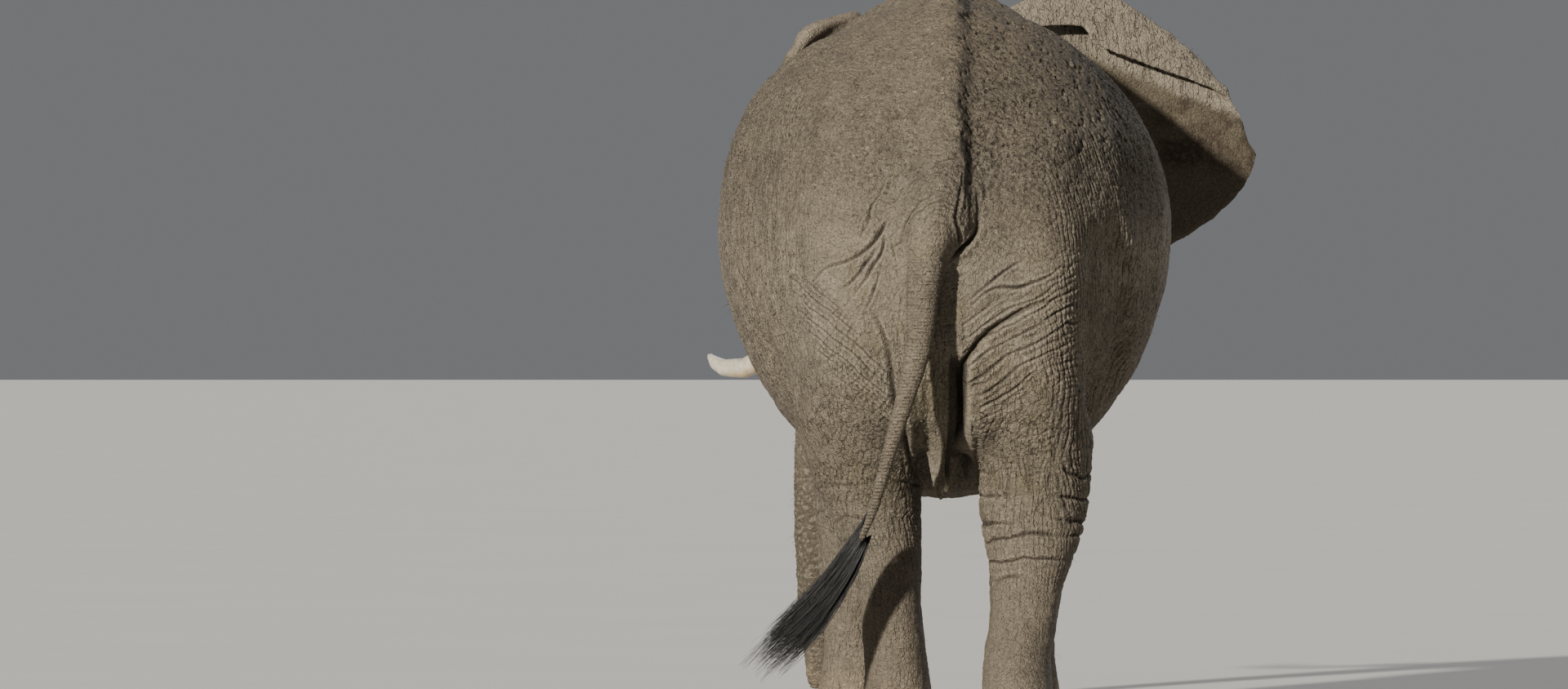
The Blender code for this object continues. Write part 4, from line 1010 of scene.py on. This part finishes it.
class Shader:
    """A material with one Principled shader, and short words for adding nodes to it."""

    def __init__(self, name, **constants):
        self.material = bpy.data.materials.new(name)
        self.material.use_nodes = True
        self.tree = self.material.node_tree
        self.surface = self.tree.nodes["Principled BSDF"]
        for socket, value in constants.items():
            self.surface.inputs[socket.replace("_", " ")].default_value = value
        self.place = self.add("ShaderNodeTexCoord").outputs["Object"]

    def add(self, kind, inputs=None, **settings):
        made = self.tree.nodes.new(kind)
        for name, value in settings.items():
            setattr(made, name, value)
        for name, value in (inputs or {}).items():
            if isinstance(value, bpy.types.NodeSocket):
                self.tree.links.new(value, made.inputs[name])
            else:
                made.inputs[name].default_value = value
        return made

    def mark(self, name):
        return self.add("ShaderNodeAttribute", attribute_name=name).outputs["Fac"]

    def maths(self, operation, first, second=0.0):
        return self.add("ShaderNodeMath", {0: first, 1: second}, operation=operation).outputs[0]

    def times(self, first, second):
        return self.maths("MULTIPLY", first, second)

    def plus(self, first, second):
        return self.maths("ADD", first, second)

    def vectors(self, operation, first, second):
        return self.add("ShaderNodeVectorMath", {0: first, 1: second}, operation=operation).outputs[0]

    def stretched(self, scale):
        return self.vectors("MULTIPLY", self.place, scale)

    def warped(self, reach, scale):
        """The object's coordinates led astray by noise, as far as reach."""
        settings = {"Vector": self.place, "Scale": scale, "Detail": 2.0}
        drift = self.add("ShaderNodeTexNoise", settings).outputs["Color"]
        moved = self.vectors("MULTIPLY", drift, (2 * reach,) * 3)
        return self.vectors("ADD", self.place, moved)

    def noise(self, scale, detail=3.0, rough=0.55, place=None):
        settings = {"Vector": place or self.place, "Scale": scale, "Detail": detail, "Roughness": rough}
        return self.add("ShaderNodeTexNoise", settings).outputs["Fac"]

    def cells(self, scale, feature, place=None):
        settings = {"Vector": place or self.place, "Scale": scale}
        return self.add("ShaderNodeTexVoronoi", settings, feature=feature).outputs["Distance"]

    def ramp(self, value, low, high, to_low=0.0, to_high=1.0):
        made = self.add("ShaderNodeMapRange", {"Value": value, "From Min": low, "From Max": high,
                                               "To Min": to_low, "To Max": to_high})
        made.interpolation_type = "SMOOTHSTEP"
        return made.outputs[0]

    def mix(self, share, first, second, way="MIX"):
        made = self.add("ShaderNodeMix", data_type="RGBA", blend_type=way)
        for number, value in ((0, share), (6, first), (7, second)):
            if isinstance(value, bpy.types.NodeSocket):
                self.tree.links.new(value, made.inputs[number])
            else:
                made.inputs[number].default_value = value if number == 0 else (*value, 1.0)
        return made.outputs[2]

    def feed(self, socket, value):
        self.tree.links.new(value, self.surface.inputs[socket])

    def bump(self, height, distance, strength=1.0, normal=None):
        inputs = {"Height": height, "Distance": distance, "Strength": strength}
        if normal is not None:
            inputs["Normal"] = normal
        return self.add("ShaderNodeBump", inputs).outputs["Normal"]


# The dark tone serves both as the hide's dark mottle and as painted shade in its hollows and thin creases;
# the pale tone both as its pale mottle and ear fold and as painted light on its ridges and upper right flank;
# the crack tone both as the crust's cracks and as painted shade in its creases, cleft and under the belly.
HIDE_DARK_AND_SHADE, HIDE_MID, HIDE_PALE_AND_LIT = (0.076, 0.064, 0.049), (0.152, 0.130, 0.099), (0.295, 0.258, 0.200)
HIDE_WARM, HIDE_FLAKE, HIDE_SPECK = (0.176, 0.147, 0.109), (0.42, 0.375, 0.30), (0.45, 0.44, 0.42)
HIDE_CRACK_AND_SHADE, HIDE_MUD = (0.024, 0.019, 0.014), (0.048, 0.036, 0.025)
HIDE_DUST, HIDE_STAIN = (0.30, 0.235, 0.155), (0.115, 0.100, 0.045)
HIDE_EAR, HIDE_BARK = (0.080, 0.066, 0.042), (0.070, 0.057, 0.039)
# The tail's rings, as the wave texture counts them: about 11 mm apart.
TAIL_RINGS = 28.0
IVORY_TONES = (0.35, 0.31, 0.225), (0.45, 0.415, 0.34)
IVORY_ROOT, IVORY_UNDER, IVORY_SCRATCH = (0.36, 0.22, 0.07), (0.42, 0.27, 0.09), (0.30, 0.19, 0.09)
NAIL_TONES = (0.19, 0.155, 0.115), (0.40, 0.335, 0.25)
IRIS_TONES, IRIS_RIM = ((0.075, 0.032, 0.010), (0.20, 0.095, 0.030)), (0.020, 0.010, 0.006)
PUPIL, EYE_WHITE = (0.003, 0.002, 0.002), (0.16, 0.105, 0.075)
HAIR_TONES = (0.004, 0.004, 0.004), (0.024, 0.022, 0.018)
FLOOR_TONES, WHITE = ((0.47, 0.455, 0.425), (0.51, 0.49, 0.46)), (1, 1, 1)


def skin_material():
    """Dusty grey-brown hide with painted shade in its folds and hollows and painted light on its ridges and
    upper right flank: muddy, stained and crusted in places.
    """
    hide = Shader("skin", Specular_IOR_Level=0.2)
    patches = hide.noise(2.2, 4, 0.6)
    mottle = hide.noise(14.0, 5, 0.65)
    colour = hide.mix(hide.ramp(patches, 0.35, 0.65), HIDE_MID, HIDE_WARM)
    colour = hide.mix(hide.ramp(mottle, 0.50, 0.72, 0.0, 0.40), colour, HIDE_PALE_AND_LIT)
    colour = hide.mix(hide.ramp(mottle, 0.50, 0.28, 0.0, 0.55), colour, HIDE_DARK_AND_SHADE)
    colour = hide.mix(hide.times(hide.mark("ear"), 0.75), colour, HIDE_EAR)
    stain = hide.times(hide.mark("stain"), hide.ramp(hide.noise(9.0, 4), 0.35, 0.65, 0.1, 0.55))
    colour = hide.mix(stain, colour, HIDE_STAIN)
    colour = hide.mix(hide.times(hide.mark("bark"), 0.8), colour, HIDE_BARK)
    # The ear's paler fold, and painted light on the upper right flank.
    colour = hide.mix(hide.times(hide.mark("pale"), 0.5), colour, HIDE_PALE_AND_LIT)

    pebbles = hide.cells(78.0, "SMOOTH_F1")
    rough_grain = hide.noise(66.0, 4, 0.72)
    gaps = hide.times(hide.ramp(rough_grain, 0.475, 0.41), hide.ramp(pebbles, 0.20, 0.50, 0.45, 1.0))
    colour = hide.mix(hide.times(hide.mark("crust"), gaps), colour, HIDE_CRACK_AND_SHADE)
    flake = hide.noise(70.0, 3, 0.7, hide.stretched((0.7, 1.0, 1.2)))
    flaky_places = hide.ramp(hide.noise(9.0, 3), 0.42, 0.60, 0.1, 0.9)
    flakes = hide.times(hide.ramp(flake, 0.58, 0.68), flaky_places)
    colour = hide.mix(hide.times(hide.mark("flakes"), flakes), colour, HIDE_FLAKE)
    # Painted light on the relief's ridges and painted shade in its hollows, then darker painted shade in its
    # creases, in the cleft and under the belly.
    ridge = hide.ramp(hide.mark("hollow"), 0.0, -0.8, 0.0, 0.34)
    colour = hide.mix(ridge, colour, HIDE_PALE_AND_LIT)
    hollow = hide.ramp(hide.mark("hollow"), 0.05, 0.9, 0.0, 0.62)
    colour = hide.mix(hollow, colour, HIDE_DARK_AND_SHADE)
    colour = hide.mix(hide.ramp(hide.mark("crease"), 0.2, 1.0, 0.0, 0.86), colour, HIDE_CRACK_AND_SHADE)
    mud = hide.times(hide.mark("mud"), hide.ramp(hide.noise(48.0, 4, 0.7), 0.34, 0.56, 0.25, 1.0))
    colour = hide.mix(mud, colour, HIDE_MUD)
    dust = hide.times(hide.mark("dust"), hide.ramp(hide.noise(18.0, 5, 0.7), 0.35, 0.7, 0.1, 0.7))
    colour = hide.mix(dust, colour, HIDE_DUST)
    # Long thin creases where a stretched noise passes through its middle value, given painted shade.
    strands_up = hide.noise(40.0, 2, 0.5, hide.stretched((1.0, 1.0, 0.14)))
    long_lines = hide.ramp(hide.maths("ABSOLUTE", hide.maths("SUBTRACT", strands_up, 0.5)), 0.0, 0.035)
    thin_crease_shade = hide.times(hide.mark("upright"), hide.ramp(long_lines, 1.0, 0.0, 0.0, 0.55))
    colour = hide.mix(thin_crease_shade, colour, HIDE_DARK_AND_SHADE)
    speckle = hide.noise(160.0, 4, 0.75)
    speckles = hide.mix(hide.ramp(speckle, 0.32, 0.66), HIDE_SPECK, WHITE)
    colour = hide.mix(0.75, colour, speckles, "MULTIPLY")
    hide.feed("Base Color", colour)
    hide.feed("Roughness", hide.ramp(mottle, 0.3, 0.7, 0.75, 0.97))

    strands_level = hide.noise(42.0, 4, 0.65, hide.stretched((0.25, 0.25, 1.6)))
    up = hide.times(hide.mark("upright"), hide.plus(strands_up, long_lines))
    level = hide.times(hide.mark("level"), strands_level)
    waves = {"Vector": hide.place, "Scale": TAIL_RINGS, "Distortion": 2.5, "Detail": 2.0,
             "Detail Scale": 0.6}
    rings = hide.add("ShaderNodeTexWave", waves, bands_direction="Z").outputs["Fac"]
    rings = hide.times(hide.mark("rings"), hide.times(rings, 0.45))
    fibre = hide.plus(hide.plus(up, level), rings)
    wide_net = hide.ramp(hide.cells(34.0, "DISTANCE_TO_EDGE", hide.warped(0.02, 24.0)), 0.0, 0.10)
    fine_net = hide.ramp(hide.cells(80.0, "DISTANCE_TO_EDGE", hide.warped(0.008, 60.0)), 0.0, 0.14)
    net = hide.plus(hide.times(wide_net, 0.8), hide.times(fine_net, 0.5))
    grain = hide.plus(net, hide.times(hide.noise(150.0, 4, 0.7), 0.8))
    crumbs = hide.plus(hide.times(rough_grain, 2.2), hide.times(pebbles, -0.7))
    crumbs = hide.plus(crumbs, hide.times(flakes, 0.6))
    crusted = hide.plus(0.06, hide.mark("crust"))
    normal = hide.bump(fibre, 0.008, 0.9)
    normal = hide.bump(hide.times(crumbs, crusted), 0.018, 1.0, normal)
    hide.feed("Normal", hide.bump(grain, 0.0030, 0.9, normal))
    return hide.material


def ivory_material():
    """Tusk: pale, finely grained along its length, scratched all over, and stained towards the root and
    underneath.
    """
    ivory = Shader("ivory", Specular_IOR_Level=0.45, Coat_Weight=0.12, Coat_Roughness=0.3)
    root = ivory.mark("root")
    grain = ivory.noise(60.0, 4, 0.6, ivory.stretched((1.0, 0.12, 0.5)))
    colour = ivory.mix(ivory.ramp(grain, 0.3, 0.7), *IVORY_TONES)
    stain = ivory.times(root, ivory.ramp(ivory.noise(22.0, 5, 0.65), 0.3, 0.6, 0.3, 1.0))
    colour = ivory.mix(stain, colour, IVORY_ROOT)
    under = ivory.times(ivory.mark("under"), ivory.ramp(ivory.noise(30.0, 4), 0.35, 0.65, 0.1, 0.8))
    colour = ivory.mix(under, colour, IVORY_UNDER)
    scratch = ivory.noise(140.0, 3, 0.7, ivory.stretched((1.0, 0.2, 0.3)))
    colour = ivory.mix(ivory.ramp(scratch, 0.62, 0.74, 0.0, 0.5), colour, IVORY_SCRATCH)
    ivory.feed("Base Color", colour)
    ivory.feed("Roughness", ivory.ramp(scratch, 0.3, 0.75, 0.28, 0.55))
    ivory.feed("Normal", ivory.bump(scratch, 0.0012, 0.6))
    return ivory.material


def nail_material():
    """Worn horn: ridged upward, and dusty."""
    nail = Shader("nail", Specular_IOR_Level=0.35)
    ridges = nail.noise(70.0, 3, 0.6, nail.stretched((1.0, 1.0, 0.15)))
    colour = nail.mix(nail.ramp(ridges, 0.35, 0.65), *NAIL_TONES)
    colour = nail.mix(nail.ramp(nail.noise(40.0, 5, 0.7), 0.5, 0.75, 0, 0.7), colour, HIDE_DUST)
    nail.feed("Base Color", colour)
    nail.feed("Roughness", nail.ramp(ridges, 0.3, 0.7, 0.45, 0.8))
    nail.feed("Normal", nail.bump(ridges, 0.002, 0.8))
    return nail.material


def eye_material():
    """A wet eyeball: dark amber iris with a near-black pupil, browner white at its rim."""
    eye = Shader("eye", Specular_IOR_Level=0.6, Coat_Weight=1.0, Coat_Roughness=0.03)
    out = eye.mark("from_pupil")
    fibre = eye.noise(900.0, 3, 0.6)
    iris = eye.mix(eye.ramp(fibre, 0.35, 0.65), *IRIS_TONES)
    iris = eye.mix(eye.ramp(out, 0.42, 0.52), iris, IRIS_RIM)
    colour = eye.mix(eye.ramp(out, 0.17, 0.21), PUPIL, iris)
    colour = eye.mix(eye.ramp(out, 0.52, 0.62), colour, EYE_WHITE)
    eye.feed("Base Color", colour)
    eye.feed("Roughness", eye.ramp(fibre, 0.2, 0.8, 0.12, 0.22))
    return eye.material


def hair_material():
    """Coarse black hair, a little brown and dusty in places."""
    hair = Shader("hair", Specular_IOR_Level=0.4)
    tone = hair.noise(140.0, 3, 0.6, hair.stretched((1.0, 1.0, 0.2)))
    colour = hair.mix(hair.ramp(tone, 0.45, 0.75), *HAIR_TONES)
    hair.feed("Base Color", colour)
    hair.feed("Roughness", hair.ramp(tone, 0.3, 0.7, 0.34, 0.55))
    return hair.material


# ---------------------------------------------------------------------- tusks, nails and eyes

def finish_piece(piece, node, material):
    piece.data.shade_smooth()
    piece.data.materials.append(material)
    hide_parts(node)
    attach(piece, "root")
    return piece


def tusks():
    material = ivory_material()
    for node in ("tusk_left", "tusk_right"):
        piece = rounded([node], node.replace("tusk", "tusk_finish"), THIN_VOXEL, TUSK_SMOOTHING)
        points, normals = coordinates(piece.data), normals_of(piece.data)
        along = head_frame(points)[:, 1]
        share = (along - along.min()) / (along.max() - along.min())
        store(piece.data, "root", fall(0.12, 0.5, share))
        under = smooth_step(0.1, 0.9, -normals[:, 2]) * fall(0.6, 0.9, share)
        store(piece.data, "under", under)
        wear = 0.0006 * layered(points, (0.02, 0.07, 0.03), 501, 3) - 0.0006
        place_vertices(piece.data, points + normals * wear[:, None])
        finish_piece(piece, node, material)


def nails():
    material = nail_material()
    for node in NAIL_NODES:
        piece = rounded([node], node.replace("nail", "nail_finish"), NAIL_VOXEL, NAIL_SMOOTHING)
        points, normals = coordinates(piece.data), normals_of(piece.data)
        ridge = 0.0009 * noise(points, (0.008, 0.008, 0.05), 511) - 0.001
        points = points + normals * ridge[:, None]
        points[:, 2] = np.maximum(points[:, 2], FLOOR_GAP)
        place_vertices(piece.data, points)
        finish_piece(piece, node, material)


def eyes():
    material = eye_material()
    for node, side in EYES.items():
        centre, ball = eyeball(node)
        ball -= EYE_GAP
        gaze = head_direction(side * GAZE[0], GAZE[1], GAZE[2]).normalized()
        form = bmesh.new()
        bmesh.ops.create_uvsphere(form, u_segments=EYE_SEGMENTS, v_segments=EYE_RINGS, radius=ball)
        mesh = mesh_of(form, node)
        local = coordinates(mesh)
        out = np.arccos(np.clip(local[:, 2] / ball, -1, 1))
        store(mesh, "from_pupil", out)
        cornea = CORNEA * fall(0.0, 0.55, out)
        local *= (1 + (cornea - CORNEA) / ball)[:, None]
        turn = np.array(gaze.to_track_quat("Z", "Y").to_matrix())
        place_vertices(mesh, local @ turn.T + centre)
        finish_piece(linked(node.replace("eye", "eyeball"), mesh), node, material)


# --------------------------------------------------------------------------------------- hair

def strands(name, lines, radii, places, material):
    """One mesh of many hairs. lines holds each hair's points, places its patch on the coat's map."""
    count, length = lines.shape[:2]
    run = np.gradient(lines, axis=1)
    run /= np.maximum(np.linalg.norm(run, axis=2, keepdims=True), TINY)
    aside = np.cross(run, ASKEW)
    aside /= np.maximum(np.linalg.norm(aside, axis=2, keepdims=True), TINY)
    other = np.cross(run, aside)
    sides = HAIR_SIDES
    turns = np.arange(sides) * 2 * math.pi / sides
    taper = 1 - 0.75 * np.linspace(0, 1, length) ** 1.6
    size = radii[:, None] * taper[None, :]
    ring = aside[:, :, None] * np.cos(turns)[:, None] + other[:, :, None] * np.sin(turns)[:, None]
    corners = lines[:, :, None] + ring * size[:, :, None, None]
    per_hair = length * sides
    base = np.arange(count)[:, None, None] * per_hair
    step = np.arange(length - 1)[None, :, None] * sides
    here = np.arange(sides)[None, None, :]
    after = (here + 1) % sides
    walls = np.stack((base + step + here, base + step + after,
                      base + step + sides + after, base + step + sides + here), -1).reshape(-1, 4)
    root_cap = (np.arange(count)[:, None] * per_hair + np.arange(sides)[::-1]).tolist()
    tip_cap = (np.arange(count)[:, None] * per_hair + per_hair - sides + np.arange(sides)).tolist()
    mesh = bpy.data.meshes.new(name)
    mesh.from_pydata(corners.reshape(-1, 3).tolist(), [], walls.tolist() + root_cap + tip_cap)
    owner = np.empty(len(mesh.loops), np.int32)
    mesh.loops.foreach_get("vertex_index", owner)
    hair, spot = owner // per_hair, owner % per_hair
    patch = np.stack((spot % sides / sides, spot // sides / length), 1) * PATCH
    layer = mesh.uv_layers.new(name="OFBake")
    layer.data.foreach_set("uv", np.clip(places[hair] + patch, 0, 1).astype(np.float32).ravel())
    mesh.shade_smooth()
    mesh.materials.append(material)
    piece = linked(name, mesh)
    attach(piece, "root")
    return piece


def arc(root, knee, tip, steps):
    """Points along the smooth curve from root to tip that knee draws towards itself."""
    return (1 - steps) ** 2 * root + 2 * steps * (1 - steps) * knee + steps**2 * tip


def body_map(points):
    """An unwrap of the hide: round the body's long axis, and along it."""
    round_it = np.arctan2(points[:, 0] - ORIGIN.x, points[:, 2] - MAP_AXIS_HEIGHT) / (2 * math.pi) + 0.5
    along = (points[:, 1] - BOX_LOW[1]) / (BOX_HIGH[1] - BOX_LOW[1])
    return 0.002 + 0.99 * np.stack((round_it, along), 1)


def tail_tuft(material):
    """The black brush: wiry locks from both sides of the tail's end, swept left, their tips apart."""
    low, high = (np.array(corner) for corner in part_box("tail_tuft"))
    start = np.array((low[0], (low[1] + high[1]) / 2, high[2]))
    end = np.array((high[0], (low[1] + high[1]) / 2 + 0.004, low[2]))
    middle = start + (end - start) * 0.42 - np.array(TUFT_BOW)
    across = np.cross(end - start, (0, 1, 0))
    across /= np.linalg.norm(across)
    steps = np.linspace(0, 1, TUFT_POINTS)[None, :, None]
    lock = RANDOM.integers(0, TUFT_LOCKS, TUFT_HAIRS)
    # Each lock has its place round the tail's end, and its hairs stray a little from it.
    lock_side = np.linspace(-1, 1, TUFT_LOCKS)[lock][:, None, None]
    draws = [RANDOM.uniform(-1, 1, TUFT_LOCKS) for _ in range(3)]
    lock_depth, lock_length, lock_bend = (draw[lock][:, None, None] for draw in draws)
    stray, stray_depth = RANDOM.normal(0, 1, (2, TUFT_HAIRS, 1, 1))
    upper = np.clip(lock_side, 0, 1)
    climb = RANDOM.random((TUFT_HAIRS, 1, 1)) * upper * 0.085 - 0.02 * (1 - np.abs(lock_side))
    root = start + across * lock_side * 0.015 + TAIL_RISE * climb
    root = root + BACKWARD * lock_depth * 0.008
    shortfall = np.abs(RANDOM.normal(0, 0.10, (TUFT_HAIRS, 1, 1)))
    length = np.clip(0.86 + 0.14 * lock_length - shortfall, 0.4, 1.0)
    spread = lock_side * (0.040 + 0.018 * length) + 0.010 * lock_bend + stray * 0.0065 * (0.4 + length)
    thick = BACKWARD * (lock_depth * 0.018 + stray_depth * 0.004)
    tip = start + (end - start) * length + across * spread + thick
    knee = middle + across * (lock_side * 0.058 + stray * 0.003) + thick * 1.3
    lines = arc(root, knee, tip, steps)
    curl = RANDOM.normal(0, 0.006, (TUFT_HAIRS, 1, 1)) * np.sin(steps * math.pi * 2.2)
    lines = lines + across * (curl + 0.004 * lock_bend * np.sin(steps * math.pi * 3)) * steps
    lines[..., 1] = np.clip(lines[..., 1], low[1] + 0.003, high[1] - 0.003)
    radii = RANDOM.uniform(*TUFT_RADII, TUFT_HAIRS)
    places = np.stack((lock / TUFT_LOCKS, RANDOM.random(TUFT_HAIRS)), 1) * 0.99
    piece = strands("tail_hair", lines, radii, places, material)
    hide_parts("tail_tuft")


def sparse_hairs(skin_piece, material):
    """Short stiff hairs standing thinly over the hide, thicker on the chin, brow, trunk and spine."""
    points, normals = coordinates(skin_piece.data), normals_of(skin_piece.data)
    body, head = body_frame(points), head_frame(points)
    weight = np.full(len(points), 0.15)
    weight += 1.0 * (body[:, 2] > 2.3)
    weight += 0.6 * ((body[:, 1] < 1.0) & (body[:, 2] > 1.0))
    chin = (head[:, 1] > 0.25) & (head[:, 1] < 0.75) & (head[:, 2] < 1.55) & (head[:, 2] > 1.3)
    weight += 3.0 * (chin & (np.abs(head[:, 0]) < 0.2))
    weight += 0.8 * ((head[:, 1] > 0.5) & (np.abs(head[:, 0]) < 0.25) & (head[:, 2] < 2.2))
    weight *= (body[:, 2] > 0.25) & (body[:, 2] < BOX_HIGH[2] - 0.03)
    weight *= body[:, 1] > 0.02
    chosen = RANDOM.choice(len(points), SPARSE_HAIRS, replace=False, p=weight / weight.sum())
    root, out = points[chosen], normals[chosen]
    length = RANDOM.uniform(*SPARSE_LENGTHS, (SPARSE_HAIRS, 1))
    lay = HAIR_LAY + RANDOM.normal(0, 0.25, (SPARSE_HAIRS, 3))
    steps = np.linspace(0, 1, SPARSE_POINTS)[None, :, None]
    tip = root + out * length * 0.8 + lay * length * 0.5
    knee = root + out * length * 0.6
    lines = arc((root - out * 0.002)[:, None], knee[:, None], tip[:, None], steps)
    lines = np.clip(lines, BOX_LOW + HAIR_GAP, BOX_HIGH - HAIR_GAP)
    radii = RANDOM.uniform(*SPARSE_RADII, SPARSE_HAIRS)
    strands("sparse_hair", lines, radii, body_map(root), material)


def eyelashes(material):
    """Long lashes from the upper lids."""
    lines, roots = [], []
    steps = np.linspace(0, 1, LASH_POINTS)[:, None]
    for node, side in EYES.items():
        centre = eyeball(node)[0]
        out = np.array(head_direction(side * GAZE[0], GAZE[1], 0.0))
        ahead = np.array(head_direction(-side * GAZE[1], GAZE[0], 0.0))
        for number in range(LASHES):
            place = -1 + 2 * number / (LASHES - 1)
            root = centre + ahead * place * LID_OPENING[0] * 0.9
            lift = LID_OPENING[1] * (1 - place**2) - LID_SLANT * place * 0.02 + 0.002
            root = root + np.array((0, 0, lift))
            root = root + out * LASH_OUT
            length = RANDOM.uniform(*LASH_LENGTHS)
            knee = root + out * length * 0.6 - np.array((0, 0, length * 0.15)) + ahead * place * 0.004
            tip = root + out * length * 0.9 - np.array((0, 0, length * 0.6)) + ahead * place * 0.012
            lines.append(arc(root, knee, tip, steps))
            roots.append(root)
    radii = np.full(len(lines), LASH_RADIUS)
    strands("eyelashes", np.array(lines), radii, body_map(np.array(roots)), material)


# ------------------------------------------------------------------------- floor, light, camera

def pale_floor():
    form = bmesh.new()
    bmesh.ops.create_grid(form, x_segments=1, y_segments=1, size=FLOOR_HALF)
    floor = linked("floor", mesh_of(form, "floor"))
    plain = Shader("floor", Specular_IOR_Level=0.1, Roughness=0.9)
    plain.feed("Base Color", plain.mix(plain.noise(0.6, 2), *FLOOR_TONES))
    floor.data.materials.append(plain.material)


def bearing(left, up):
    """A direction as seen from behind the animal: turned to the left, and raised."""
    return Vector((math.sin(left) * math.cos(up), math.cos(left) * math.cos(up), math.sin(up)))


def sun_light(name, source, strength, spread, colour):
    data = bpy.data.lights.new(name, "SUN")
    data.energy = strength
    data.angle = spread
    data.color = colour
    linked(name, data).rotation_euler = source.to_track_quat("Z", "Y").to_euler()


def studio():
    world = bpy.data.worlds.new("studio")
    world.use_nodes = True
    backdrop = world.node_tree.nodes["Background"].inputs
    backdrop["Color"].default_value = WORLD_COLOUR
    backdrop["Strength"].default_value = WORLD_LIGHT
    bpy.context.scene.world = world
    sun_light("key", bearing(*KEY_BEARING), KEY_LIGHT, KEY_SPREAD, KEY_COLOUR)
    sun_light("front_fill", bearing(*FRONT_BEARING), FRONT_LIGHT, FRONT_SPREAD, FRONT_COLOUR)


def camera():
    data = bpy.data.cameras.new("camera")
    data.lens = CAMERA_LENS
    data.sensor_width = CAMERA_SENSOR
    data.clip_end = CAMERA_REACH
    seen_from = linked("camera", data)
    seen_from.location = from_body(CAMERA_OFF, CAMERA_STATION, CAMERA_HEIGHT)
    seen_from.rotation_euler = (math.radians(90), 0, math.radians(180))
    bpy.context.scene.camera = seen_from


skin = dressed_skin()
tusks()
nails()
eyes()
black_hair = hair_material()
tail_tuft(black_hair)
sparse_hairs(skin, black_hair)
eyelashes(black_hair)
pale_floor()
studio()
camera()
